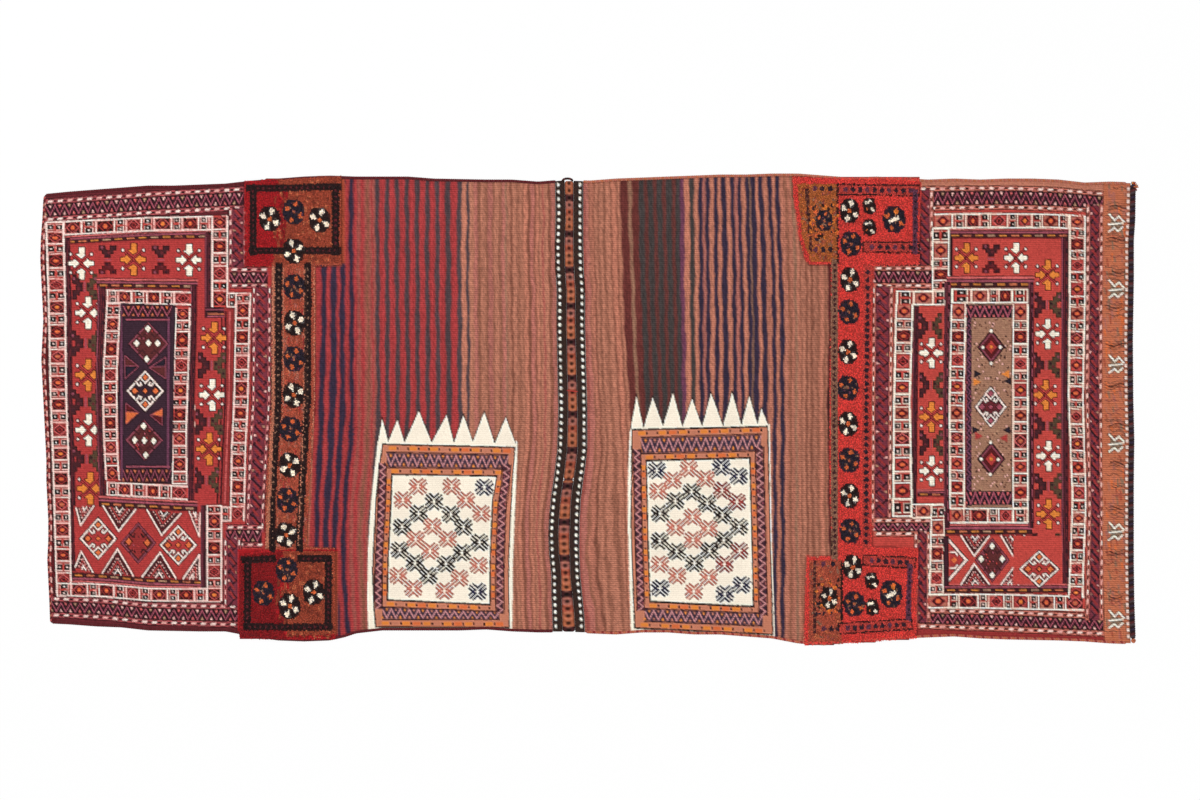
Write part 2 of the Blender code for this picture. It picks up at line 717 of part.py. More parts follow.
def make_corner_trims(yarns):
    # A tuft past the upper end of the end cord and a knot past its lower end.
    x, y = lay(LENGTH, 1.0)
    r = TASSEL_RADIUS
    x += SEAT_GAP + max(r, END_CORD / 2)
    shape = ((0.0, r * 0.55), (r * 0.6, r), (TASSEL_LENGTH * 0.55, r * 0.75), (TASSEL_LENGTH, r * 0.9))
    turned("corner_tassel", shape, (x, y + SEAT_GAP, r), yarns["orange_wool"])
    x, y = lay(LENGTH, 0.0)
    r = KNOT_RADIUS
    x += SEAT_GAP + max(r, END_CORD / 2)
    shape = ((-2 * r, r * 0.45), (-1.5 * r, r * 0.9), (-r, r), (-0.5 * r, r * 0.9), (0.0, r * 0.45))
    turned("corner_knot", shape, (x, y - SEAT_GAP, r), yarns["goat_hair"])


def centre_on_origin():
    # Puts the middle of the whole bag over the origin.
    bpy.context.view_layer.update()
    corners = []
    for each in bpy.context.scene.objects:
        if not each.hide_render:
            corners += [each.matrix_world @ Vector(c) for c in each.bound_box]
    shift_x = -(min(c[0] for c in corners) + max(c[0] for c in corners)) / 2
    shift_y = -(min(c[1] for c in corners) + max(c[1] for c in corners)) / 2
    for each in bpy.context.scene.objects:
        each.location.x += shift_x
        each.location.y += shift_y


def main():
    for old in list(bpy.data.objects):
        bpy.data.objects.remove(old, do_unlink=True)
    yarns = wools()
    left = Half(
        False, LEFT_LENGTH, LEFT_END_INSET, LEFT_FLANGE, LEFT_WEB,
        LEFT_INNER, LEFT_INNER_UPPER, LEFT_INNER_LOWER,
    )
    right = Half(
        True, RIGHT_LENGTH, RIGHT_END_INSET, RIGHT_FLANGE, RIGHT_WEB,
        RIGHT_INNER, RIGHT_INNER_UPPER, RIGHT_INNER_LOWER,
    )
    make_half("left_half_weave", left, yarns)
    make_half("right_half_weave", right, yarns)
    make_join(yarns)
    make_lacing(yarns)
    make_top_loop(yarns)
    make_side_cords(left, right, yarns)
    make_left_binding(yarns)
    make_end_cord(yarns)
    make_corner_trims(yarns)
    centre_on_origin()


main()
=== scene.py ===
import json
from math import cos, pi, radians, sin

import bpy
import numpy as np
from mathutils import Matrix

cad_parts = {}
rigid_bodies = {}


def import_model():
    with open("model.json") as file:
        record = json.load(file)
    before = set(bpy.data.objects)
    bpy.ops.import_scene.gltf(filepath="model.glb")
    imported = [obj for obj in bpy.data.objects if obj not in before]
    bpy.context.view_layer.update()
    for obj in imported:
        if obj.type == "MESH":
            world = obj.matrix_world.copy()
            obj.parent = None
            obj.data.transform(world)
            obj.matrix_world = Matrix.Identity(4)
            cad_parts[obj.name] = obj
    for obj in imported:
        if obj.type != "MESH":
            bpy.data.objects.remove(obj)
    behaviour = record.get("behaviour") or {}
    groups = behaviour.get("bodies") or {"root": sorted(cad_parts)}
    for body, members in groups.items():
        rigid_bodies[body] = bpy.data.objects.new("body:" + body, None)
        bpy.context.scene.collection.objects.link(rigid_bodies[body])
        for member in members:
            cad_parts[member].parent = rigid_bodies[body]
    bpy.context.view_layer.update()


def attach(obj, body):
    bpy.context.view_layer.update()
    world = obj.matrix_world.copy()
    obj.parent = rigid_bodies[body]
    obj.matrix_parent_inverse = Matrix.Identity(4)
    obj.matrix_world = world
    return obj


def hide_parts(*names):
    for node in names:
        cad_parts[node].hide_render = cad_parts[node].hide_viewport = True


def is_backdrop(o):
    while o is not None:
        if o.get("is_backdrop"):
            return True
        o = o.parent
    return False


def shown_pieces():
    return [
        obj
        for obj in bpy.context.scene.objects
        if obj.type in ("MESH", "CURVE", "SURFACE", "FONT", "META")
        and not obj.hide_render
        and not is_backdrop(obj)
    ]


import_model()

# the photograph looks straight down; every pattern is placed in its pixels and turned into metres here
photo = {"width": 1200, "height": 800, "metresPerPixel": 0.0024, "centreX": 588.2, "centreY": 410.3}
chance = np.random.default_rng(7)


def metres(px, py):
    return (px - photo["centreX"]) * photo["metresPerPixel"], (photo["centreY"]
        - py) * photo["metresPerPixel"]


def linear(hexColour):
    parts = [int(hexColour[i:i + 2], 16) / 255 for i in (0, 2, 4)]
    return tuple(c / 12.92 if c <= 0.04045 else ((c + 0.055) / 1.055) ** 2.4 for c in parts)


# yarn colours, in sRGB
yarns = {name: linear(value) for name, value in {
    "maroon": "5E1C20", "brick": "AE3A38", "madder": "93302F", "pileRed": "B0181E", "scarlet": "D2443D",
    "rust": "BE6A48", "salmon": "BC7660", "navy": "2A2230", "stripeNavy": "34293C", "blackBrown": "2A1718",
    "ivory": "F8EAD6", "panelWhite": "FBEEDA", "orange": "DE8238", "ochre": "BC7434", "mauve": "9C4C5A",
    "pink": "C8605E", "slate": "4C3E42", "olive": "946A55", "kilimRed": "A63A3B", "endRust": "C26E4F",
    "goatHair": "38251F", "greenBlack": "423B3A", "redBrown": "5C2A2A", "tan": "AC8468", "purple": "6A3A50",
    "greyBrown": "A0745E", "deepRed": "8E1A1E", "oliveRust": "B26434", "plum": "64242A",
    "cellBar": "B04C4A",
    "stepped": "4A2226", "dashGround": "A64A4E", "stripeBrown": "643430", "salmonDeep": "B4705C",
    "leftRed": "A81C22", "warmRed": "BE463E", "salmonGround": "C06A5A", "stripeRed": "66302C",
    "blush": "F2D2C8", "rose": "DCA49C", "wine": "401E28", "coral": "B4745E", "rosewood": "B06A5E",
    "umber": "925C49",
    "bark": "84503F", "clay": "9C5048", "pileRust": "A04832", "pileBrown": "863A2A", "hatch": "94745E",
    "dusk": "84404E", "ember": "D86C3C", "webRust": "B05640",
    "frameRose": "78323E", "edgeTan": "C07C62",
    "dustyRose": "BC8080", "fieldNavy": "3A2430",
    "inkBlue": "2C2C52", "paleCross": "D07462",
    "frameSalmon": "C27A60", "thicket": "54402F",
}.items()}


# the woven picture: shapes drawn by their corners, later read by every stitch
weaving = {"left": 30.0, "top": 165.0, "right": 1146.0, "bottom": 655.0, "fine": 3}
canvasColumns = int((weaving["right"] - weaving["left"]) * weaving["fine"])
canvasRows = int((weaving["bottom"] - weaving["top"]) * weaving["fine"])
dyeLayer = np.zeros((canvasRows, canvasColumns, 3), np.float32)
liftLayer = np.zeros((canvasRows, canvasColumns), np.float32)


def fill(points, yarn, lift=None):
    fine = weaving["fine"]
    xs = [(p[0] - weaving["left"]) * fine - 0.5 for p in points]
    ys = [(p[1] - weaving["top"]) * fine - 0.5 for p in points]
    firstColumn, lastColumn = max(0, int(min(xs))), min(canvasColumns, int(max(xs)) + 2)
    firstRow, lastRow = max(0, int(min(ys))), min(canvasRows, int(max(ys)) + 2)
    if firstColumn >= lastColumn or firstRow >= lastRow:
        return
    across = np.arange(firstColumn, lastColumn)[None, :]
    down = np.arange(firstRow, lastRow)[:, None]
    inside = np.zeros((lastRow - firstRow, lastColumn - firstColumn), bool)
    for i in range(len(xs)):
        x1, y1, x2, y2 = xs[i - 1], ys[i - 1], xs[i], ys[i]
        if y1 != y2:
            crosses = (down >= min(y1, y2)) & (down < max(y1, y2))
            inside ^= crosses & (across < (x2 - x1) * (down - y1) / (y2 - y1) + x1)
    dyeLayer[firstRow:lastRow, firstColumn:lastColumn][inside] = yarns[yarn]
    if lift is not None:
        liftLayer[firstRow:lastRow, firstColumn:lastColumn][inside] = lift


def stroke(points, width, yarn, lift=None):
    for (x1, y1), (x2, y2) in zip(points, points[1:]):
        length = max(1e-6, ((x2 - x1) ** 2 + (y2 - y1) ** 2) ** 0.5)
        ux, uy = (x2 - x1) / length * width / 2, (y2 - y1) / length * width / 2
        fill([(x1 - ux - uy, y1 - uy + ux), (x1 - ux + uy, y1 - uy - ux),
            (x2 + ux + uy, y2 + uy - ux), (x2 + ux - uy, y2 + uy + ux)], yarn, lift)


def dot(x, y, size, yarn, lift=0.4):
    half = size / 2
    fill([(x - half, y), (x - half * 0.5, y - half), (x + half * 0.5, y - half), (x + half, y),
        (x + half * 0.5, y + half), (x - half * 0.5, y + half)], yarn, lift)


def guide(line, at):
    if isinstance(line, (int, float)):
        return line + 0.0 * at
    return np.interp(at, [p[0] for p in line], [p[1] for p in line])


def shifted(line, by):
    return line + by if isinstance(line, (int, float)) else tuple((a, v + by) for a, v in line)


# a band runs along x or y between two guides; a is the pixel along it, t goes from 0 at low to 1 at high
def band(along, start, end, low, high):
    return {"along": along, "start": start, "end": end, "low": low, "high": high}


def at(run, a, t):
    low, high = float(guide(run["low"], a)), float(guide(run["high"], a))
    c = low + (high - low) * t
    return (a, c) if run["along"] == "x" else (c, a)


def block(run, a0, a1, t0, t1, yarn, lift=None):
    steps = max(1, int(abs(a1 - a0) / 18))
    stations = [a0 + (a1 - a0) * i / steps for i in range(steps + 1)]
    fill([at(run, a, t0) for a in stations] + [at(run, a, t1) for a in reversed(stations)], yarn, lift)


def shape(run, corners, yarn, lift=None):
    fill([at(run, a, t) for a, t in corners], yarn, lift)


def strip(run, yarn, t0=0.0, t1=1.0, lift=0.0):
    block(run, run["start"], run["end"], t0, t1, yarn, lift)


def strokes(rows):
    for points, width, yarn, lift in rows:
        stroke(points, width, yarn, lift)


def picked(tones):
    return tones[int(len(tones) * chance.random())]


def scattered(count, left, top, right, bottom):
    for _ in range(count):
        yield left + (right - left) * chance.random(), top + (bottom - top) * chance.random()


def hCell(run, a0, a1, ground):
    w = a1 - a0

    def part(s0, s1, t0, t1, yarn, lift=0.0):
        block(run, a0 + s0 * w, a0 + s1 * w, t0, t1, yarn, lift)
    part(0, 1, 0, 1, ground, 0.5)
    for s0 in (0.1, 0.77):
        part(s0, s0 + 0.15, 0.08, 0.92, "warmRed")
    part(0.23, 0.77, 0.44, 0.56, "warmRed")
    for t0 in (0.08, 0.57):
        part(0.27, 0.73, t0, t0 + 0.35, "blackBrown")
        part(0.45, 0.56, t0 + 0.13, t0 + 0.22, "blush", 0.5)


def diamondCell(run, a0, a1, ground, middle, edge):
    w, mid = a1 - a0, (a0 + a1) / 2
    block(run, a0 - 0.5, a1 + 0.5, 0.085, 0.915, "warmRed", 0.1)
    block(run, a0 + 0.06 * w, a1 - 0.06 * w, 0.14, 0.86, ground, 0.0)
    for reach, tall, yarn, lift in ((0.46, 0.4, edge, 0.3), (0.37, 0.31, "maroon", 0.2),
            (0.19, 0.18, "brick", 0.3), (0.12, 0.12, middle, 0.4)):
        shape(run, [(mid - reach * w, 0.5), (mid - 0.08 * w, 0.5 - tall), (mid + 0.08 * w, 0.5 - tall),
            (mid + reach * w, 0.5), (mid + 0.08 * w, 0.5 + tall), (mid - 0.08 * w, 0.5 + tall)], yarn, lift)


# cells of the white borders: H-shaped and diamond ones in turn
cellTones = {
    "grounds": ("stepped", "blackBrown", "madder"),
    "rightGrounds": ("salmonDeep", "stepped", "warmRed", "brick"),
    "middles": ("ember", "ember", "maroon", "orange", "ember", "rust"),
    "edges": ("cellBar", "madder", "pink"),
}


def cells(run, edges, first, ground, grounds):
    block(run, edges[0], edges[-1], -0.02, 1.02, ground, 0.5)
    square = first == "H"
    count = 0
    for a0, a1 in zip(edges, edges[1:]):
        if square:
            hCell(run, a0, a1, ground)
        else:
            tones = [row[count % len(row)] for row in (grounds, cellTones["middles"], cellTones["edges"])]
            diamondCell(run, a0 + 0.5, a1 - 0.5, *tones)
            count += 1
        square = not square


def paintBorders(face, borders, ground, grounds):
    for name, along in borders:
        part = face[name]
        run = band(along, part["edges"][0], part["edges"][-1], part["low"], part["high"])
        cells(run, part["edges"], part["first"], ground, grounds)


def dashes(run, pitch, length, yarn, t0=0.2, t1=0.8, ground=None, lift=0.5, others=None, lean=0.0):
    if ground:
        block(run, run["start"], run["end"], 0, 1, ground, 0.0)
    count = int((run["end"] - run["start"]) / pitch)
    for i in range(count + 1):
        a = run["start"] + (i + 0.25) * pitch
        if a + length <= run["end"] + 0.5:
            shape(run, [(a + lean, t0), (a + length + lean, t0), (a + length - lean, t1), (a - lean, t1)],
                others[i % len(others)] if others else yarn, lift)


def zigzag(run, pitch, ground="wine", line="mauve", lights=("rose", "pink", "tan", "rose"), width=0.8,
        seed=0, small=1.0):
    block(run, run["start"], run["end"], 0, 1, ground, 0.0)
    count = max(1, int(round((run["end"] - run["start"]) / pitch)))
    step = (run["end"] - run["start"]) / count
    for i in range(count):
        a = run["start"] + i * step
        shape(run, [(a + (0.5 - 0.16 * small) * step, 0.08), (a + (0.5 + 0.16 * small) * step, 0.08),
            (a + 0.5 * step, 0.34)], lights[(i + seed) % len(lights)], 0.3)
        shape(run, [(a - 0.16 * small * step, 0.92), (a + 0.16 * small * step, 0.92), (a, 0.66)],
            lights[(i + seed + 2) % len(lights)], 0.3)
        stroke([at(run, a, 0.1), at(run, a + step / 2, 0.9), at(run, a + step, 0.1)], width * 1.25, line,
            0.4)


def outlined(points, yarn, lift, edge="maroon"):
    stroke(list(points) + [points[0]], 1.7, edge, 0.0)
    fill(points, yarn, lift)


def arrowStar(x, y, yarn, size=1.0):
    for sx in (-1, 1):
        for sy in (-1, 1):
            dot(x + sx * 10.6 * size, y + sy * 9.4 * size, 5.0 * size, "maroon", 0.0)
            dot(x + sx * 10.6 * size, y + sy * 9.4 * size, 2.6 * size, "blush", 0.5)
            stroke([(x, y), (x + sx * 8.8 * size, y + sy * 7.8 * size)], 2.8, "maroon", 0.0)
            stroke([(x, y), (x + sx * 8.8 * size, y + sy * 7.8 * size)], 1.0, "brick", 0.2)
    for side in (-1, 1):
        outlined([(x + side * u * size, y + v * size) for u, v in ((2.1, 0), (6.8, -4.6), (8.2, -2.2),
            (12.6, -1.9), (12.6, 1.9), (8.2, 2.2), (6.8, 4.6))], yarn, 0.6)
        outlined([(x + u * size, y + side * v * size) for u, v in ((0.2, 5.0), (4.0, 8.2), (3.4, 9.4),
            (3.4, 16.0), (-1.9, 16.0), (-1.9, 9.8), (-5.2, 9.2))], yarn, 0.6)


def facingSteps(x, y, half=14.0, upright=False, wide=13.0):
    # two solid blocks that step towards each other over a thin seam
    steps = ((1.0, -1.0), (0.62, -1.0), (0.62, -0.66), (0.38, -0.66), (0.38, -0.36), (0.13, -0.36),
        (0.13, 0.36), (0.38, 0.36),
        (0.38, 0.66), (0.62, 0.66), (0.62, 1.0), (1.0, 1.0), (1.0, 0.24), (0.72, 0.2), (0.72, -0.2),
        (1.0, -0.24))
    for side, yarn in ((-1, "stepped"), (1, "maroon" if upright else "thicket")):
        halfSteps = [(side * u * half, v * wide) for u, v in steps]
        fill([(x + b, y + a) if upright else (x + a, y + b) for a, b in halfSteps], yarn, 0.2)
        for u, v, seam in ((0.86, -0.62, "dusk"), (0.5, 0.14, "plum"), (0.84, 0.62, "wine"),
                (0.3, -0.1, "wine")):
            a, b = side * u * half, v * wide
            dot(x + (b if upright else a), y + (a if upright else b), 3.0, seam, 0.2)
    seam = [(0, -0.34 * wide), (0, 0.34 * wide)]
    stroke([(x + b, y + a) if upright else (x + a, y + b) for a, b in seam], 1.2, "mauve", 0.3)


def diamond(x, y, halfX, halfY, yarn, lift=0.0):
    fill([(x - halfX, y), (x, y - halfY), (x + halfX, y), (x, y + halfY)], yarn, lift)


def hookedDiamond(x, y, halfX, halfY, inner="brick", middle="ember"):
    diamond(x, y, halfX + 1.3, halfY + 1.4, "stepped")
    diamond(x, y, halfX, halfY, "blush", 0.5)
    diamond(x, y, halfX - 2.3, halfY - 2.6, "stepped")
    diamond(x, y, halfX - 3.3, halfY - 3.6, inner)
    for side in (-1, 1):
        diamond(x, y + side * 0.66 * halfY, 6.2, 6.4, "blush", 0.5)
        diamond(x, y + side * 0.66 * halfY, 4.3, 4.5, "stepped", 0.0)
        diamond(x, y + side * 0.66 * halfY, 2.6, 2.8, middle, 0.4)
        diamond(x + side * 0.56 * halfX, y, 4.4, 4.4, "stepped", 0.0)
        diamond(x + side * 0.56 * halfX, y, 2.9, 2.9, middle, 0.4)
        for sx in (-1, 1):
            hook = [(x + sx * halfX * u, y + side * halfY * v) for u, v in ((0.5, 0.44), (0.33, 0.26),
                (0.2, 0.3), (0.25, 0.4))]
            stroke(hook, 2.8, "stepped", 0.1)
            stroke(hook, 1.5, "blush", 0.5)
    diamond(x, y, 3.6, 3.4, "stepped", 0.0)
    diamond(x, y, 2.2, 2.2, middle, 0.4)


def brownDiamond(x, y, halfX, halfY, yarn="redBrown", dots=(), light="ivory"):
    diamond(x, y, halfX + 0.8, halfY + 0.8, "blackBrown", 0.0)
    diamond(x, y, halfX, halfY, "dusk", 0.3)
    diamond(x, y, halfX - 2.2, halfY - 2.4, "redBrown", 0.1)
    diamond(x, y, halfX - 4.4, halfY - 4.8, yarn, 0.1)
    for sx in (-1, 1):
        for sy in (-1, 1):
            stroke([(x + sx * halfX * u, y + sy * halfY * v) for u, v in ((0.5, 0.46), (0.3, 0.3),
                (0.18, 0.44))], 1.8, "stepped", 0.1)
    for _ in range(34):
        u, v = chance.random() * 1.5 - 0.75, chance.random() * 1.5 - 0.75
        if abs(u) + abs(v) < 0.8:
            dot(x + u * halfX, y + v * halfY, 1.6, picked(("mauve", "brick", "stepped", "redBrown")), 0.1)
    for px, py in dots:
        diamond(px, py, 4.6, 5.4, "maroon", 0.0)
        diamond(px, py, 2.9, 3.6, light, 0.6)


# a dark triangle filled with chevrons side by side with its two legs, plain lines and rows of dots in turn
def chevronTriangle(apex, left, right):
    middle = ((left[0] + right[0]) / 2, (left[1] + right[1]) / 2)
    fill([apex, left, right], "stepped", 0.0)
    for share, yarn, width, dotted in ((0.0, "blush", 1.5, False), (0.2, "maroon", 1.2, False),
            (0.34, "rose", 1.5, True), (0.5, "brick", 1.1, False), (0.64, "rose", 1.4, True), (0.8, "blush",
            1.2, False)):
        ring = [(p[0] + (middle[0] - p[0]) * share, p[1] + (middle[1] - p[1]) * share) for p in (left, apex,
            right)]
        if not dotted:
            stroke(ring, width, yarn, 0.4)
            continue
        for a, b in zip(ring, ring[1:]):
            count = max(2, int(((b[0] - a[0]) ** 2 + (b[1] - a[1]) ** 2) ** 0.5 / 2.9))
            for i in range(count):
                dot(a[0] + (b[0] - a[0]) * (i + 0.5) / count, a[1] + (b[1] - a[1]) * (i + 0.5) / count,
                    width, yarn, 0.4)


def flower(x, y, kind, wide=11.0, tall=12.6, turned=False):
    dark = "blackBrown" if kind == "W" else "navy"
    outline = ((-0.5, -1), (0.35, -0.97), (0.85, -0.62), (1, 0.1), (0.8, 0.62), (0.4, 0.98), (-0.35, 0.97),
        (-0.85, 0.62), (-1, -0.05), (-0.88, -0.6))
    fill([(x + u * wide, y + v * tall) for u, v in outline], dark, 0.0)
    if kind == "N":
        for _ in range(12):
            a, r = 2 * pi * chance.random(), chance.random()
            dot(x + cos(a) * r * wide * 0.9, y + sin(a) * r * tall * 0.9, 2.2,
                picked(("stripeNavy", "purple", "olive")), 0.1)
    # petals turn like a wheel, each wide at the rim and narrow at the heart
    near, side, far = (0.26, 0.74, 0.98) if kind == "W" else (0.44, 0.66, 0.92)
    for turn in (-108, -26, 66, 154) if turned else (-74, -158, 26, 110):
        a, b, c = radians(turn - 21), radians(turn), radians(turn + 21)
        fill([(x + cos(b) * wide * near, y + sin(b) * tall * near), (x + cos(a) * wide * side,
            y + sin(a) * tall * side),
            (x + cos(b) * wide * far, y + sin(b) * tall * far), (x + cos(c) * wide * side,
            y + sin(c) * tall * side)], "ivory" if kind == "W" else "ember", 0.4)
    dot(x, y, 4.6 if kind == "W" else 2.4, "ember" if kind == "W" else "rust", 0.3)


# a cross of four arms, each of three short stitches side by side
crossStitch = {"slopeX": 0.76, "slopeY": 0.65, "width": 2.2,
    "threads": ((-3.0, 2.6, 8.2), (0, 2.4, 9.4), (3.0, 2.6, 8.2))}


def crossMotif(x, y, yarn):
    for sx in (-1, 1):
        for sy in (-1, 1):
            ux, uy = sx * crossStitch["slopeX"], sy * crossStitch["slopeY"]
            for side, near, far in crossStitch["threads"]:
                px, py = x - uy * side, y + ux * side
                stroke([(px + ux * near, py + uy * near), (px + ux * far, py + uy * far)],
                    crossStitch["width"], yarn, 0.5)


# outline of the laid bag and the lines where its pieces meet
bag = {
    "top": ((39, 195), (44, 194.5), (70, 192), (96, 190), (122, 188), (148, 186), (174, 186), (200, 185),
    (226, 184),
    (252, 181), (278, 179), (304, 177), (330, 176), (356, 177), (408, 177), (434, 179), (486, 180),
    (512, 180),
    (538, 182), (564, 180), (590, 181), (616, 179), (642, 178), (668, 177), (694, 176), (720, 175),
    (746, 175),
    (772, 174), (798, 174), (824, 176), (850, 178), (876, 177), (928, 180), (954, 179), (980, 180),
    (1006, 179), (1032, 179), (1058, 180), (1084, 183), (1110, 182), (1140, 183)),
    "bottom": ((39, 622), (50, 623), (70, 624), (96, 626), (122, 627), (148, 630), (200, 631), (226, 631),
    (252, 636), (278, 640), (304, 641), (330, 640), (344, 637), (356, 633), (382, 630), (408, 630),
    (434, 630), (460, 630),
    (486, 629), (512, 631), (538, 632), (564, 632), (590, 633), (616, 634), (642, 632),
    (668, 632), (694, 634),
    (720, 634), (746, 636), (772, 638), (798, 643), (824, 645), (850, 642), (876, 640),
    (902, 638), (928, 637),
    (954, 636), (980, 638), (1006, 639), (1058, 640), (1084, 641), (1110, 643), (1140, 644)),
    "leftEnd": ((190, 44.5), (200, 43), (220, 42), (240, 40.5), (260, 40), (280, 41), (300, 42), (320, 43),
    (340, 42), (360, 41), (380, 42), (400, 43), (420, 44), (440, 45), (460, 46), (480, 46), (500, 47),
    (520, 48), (540, 48), (560, 47), (580, 48), (600, 49), (630, 50)),
    "rightEnd": ((180, 1130.5), (220, 1130), (240, 1128.6), (280, 1128.6), (340, 1127.6), (400, 1128),
    (440, 1129), (480, 1128.5), (560, 1128.5), (600, 1129), (645, 1130.5)),
    "leftWeb": ((175, 294), (265, 294), (300, 293), (400, 291), (470, 288), (500, 286), (547, 286),
    (645, 285)),
    "rightWeb": ((170, 851), (300, 850), (400, 848), (495, 849), (567, 852), (650, 853)),
    "joinLeft": ((175, 555), (215, 556), (245, 555), (270, 555.5), (290, 557), (325, 556.8), (410, 558.5),
    (450, 557.5), (475, 554.5), (495, 551.5), (515, 549.5), (535, 548.6), (555, 549.5), (575, 551.5),
    (595, 551.7), (615, 552.5), (640, 553.5)),
    "joinRight": ((175, 583), (245, 583), (270, 583.5), (290, 585), (325, 584.8), (410, 587), (450, 587),
    (465, 585.3), (480, 583), (500, 580.5), (520, 579.5), (545, 579), (575, 580), (595, 582), (615, 584),
    (640, 585)),
    "endBand": ((175, 1103), (400, 1102), (500, 1102), (645, 1104)),
}
print("outline ready")


# weft stripes, each from its edge at y 250, following the creep of the laid cloth
def paintKilim(stripes, leftLine, rightLine, drifts):
    fine = weaving["fine"]
    ys = weaving["top"] + (np.arange(canvasRows) + 0.5) / fine
    xs = weaving["left"] + (np.arange(canvasColumns) + 0.5) / fine
    first = int((min(v for _, v in leftLine) - weaving["left"]) * fine) - 6
    last = int((max(v for _, v in rightLine) - weaving["left"]) * fine) + 6
    columns = xs[first:last]
    stations = [place for place, _ in drifts]
    moves = np.array([guide(line, ys) - guide(line, 250.0) for _, line in drifts])
    edges = np.array([edge for edge, _ in stripes])
    colours = np.array([yarns[yarn] for _, yarn in stripes], np.float32)
    jitter = np.repeat(chance.random(canvasRows // 4 + 1) * 2 - 1, 4)[:canvasRows]
    for row in range(canvasRows):
        home = columns - np.interp(columns, stations, moves[:, row])
        home = home + 0.45 * np.sin(ys[row] / 7.3 + columns / 3.1) + 0.4 * np.sin(ys[row] / 19.0
            - columns / 5.7) + 0.3 * jitter[row]
        index = np.clip(np.searchsorted(edges, home, side="right") - 1, 0, len(colours) - 1)
        dyeLayer[row, first:last] = colours[index]


def fineStripes(start, end, wide=3.3, narrow=2.4):
    found, x = [], start
    lights, darks = ("salmon", "coral", "salmonDeep", "rosewood", "coral"), ("umber", "olive", "bark",
        "umber", "clay")
    while x < end:
        for tones, width in ((lights, wide), (darks, narrow)):
            found.append((x, picked(tones)))
            x += width * (0.6 + 0.8 * chance.random())
    return found


# left back: weft stripes by their left edge at y 250
leftBack = {
    "stripes": [(280, "kilimRed"), (322, "stripeNavy"), (327, "kilimRed"), (331, "stripeNavy"),
    (337, "kilimRed"), (340, "stripeNavy"), (345, "kilimRed"), (349, "stripeNavy"), (353.5, "kilimRed"),
    (357, "clay"), (360.5, "kilimRed"), (364, "clay"), (366.5, "bark"), (369, "clay"), (371.5, "kilimRed"),
    (373, "clay"), (375.5, "slate"), (379.5, "kilimRed")]
    + [item for i in range(6) for item in ((384.8 + 10.05 * i, "slate"), (389.3 + 10.05 * i, "kilimRed"))]
    + [(445.3, "slate"), (450.8, "kilimRed"), (457, "slate"), (461.5, "salmon"), (466.2, "slate"),
    (469.2, "coral"), (474, "rosewood"),
    (477.5, "umber"), (481, "coral"), (485.4, "umber")] + fineStripes(488, 560),
    "drifts": ((318, ((175, 319), (250, 319), (300, 318.5), (400, 316), (500, 312), (540, 311),
    (645, 311))),
    (350, ((175, 351), (250, 351), (330, 351.5), (410, 352), (450, 350), (480, 347), (500, 345), (540, 343),
    (570, 344), (600, 346), (630, 348))),
    (470, ((175, 470), (250, 470), (420, 471), (500, 467), (540, 466), (640, 470))),
    (556, bag["joinLeft"])),
}
rightBack = {
    "stripes": fineStripes(575, 621.5) + [(621.5, "stripeRed"), (629.6, "olive"), (633.0, "stripeRed")]
    + [item for i in range(5) for item in ((639.5 + 9.1 * i, "greenBlack"), (645.0 + 9.1 * i,
    "stripeBrown"))]
    + [(680, "purple"), (684.5, "salmon"), (689.7, "greenBlack"), (694.5, "salmon"), (698.7, "stripeNavy"),
    (703, "rosewood"), (705.8, "stripeNavy"), (709.8, "salmon"), (714, "stripeNavy"), (718.2, "salmon"),
    (721.8, "stripeNavy"),
    (727.5, "salmon"), (731.6, "stripeNavy"), (735.6, "rosewood"), (739, "stripeNavy"), (742.8, "salmon"),
    (746.6, "stripeNavy"), (750.6, "olive"), (752, "stripeNavy"), (757.2, "salmon"), (760.4, "stripeNavy"),
    (765.6, "salmonDeep"), (770.4, "stripeNavy"), (774.4, "salmon"), (777.6, "stripeNavy"),
    (782.0, "salmon")]
    + fineStripes(784, 828) + [(828, "redBrown"), (833, "olive")],
    "drifts": ((584, bag["joinRight"]), (622, ((175, 621), (250, 623), (330, 626.5), (400, 631),
    (450, 634.5), (640, 642))), (700, ((175, 700), (430, 701), (640, 702))),
    (785, ((175, 781), (250, 785), (330, 787.5), (640, 788))), (845, bag["rightWeb"])),
}
paintKilim(leftBack["stripes"], bag["leftWeb"], bag["joinLeft"], leftBack["drifts"])
paintKilim(rightBack["stripes"], bag["joinRight"], bag["rightWeb"], rightBack["drifts"])
print("kilim stripes drawn")

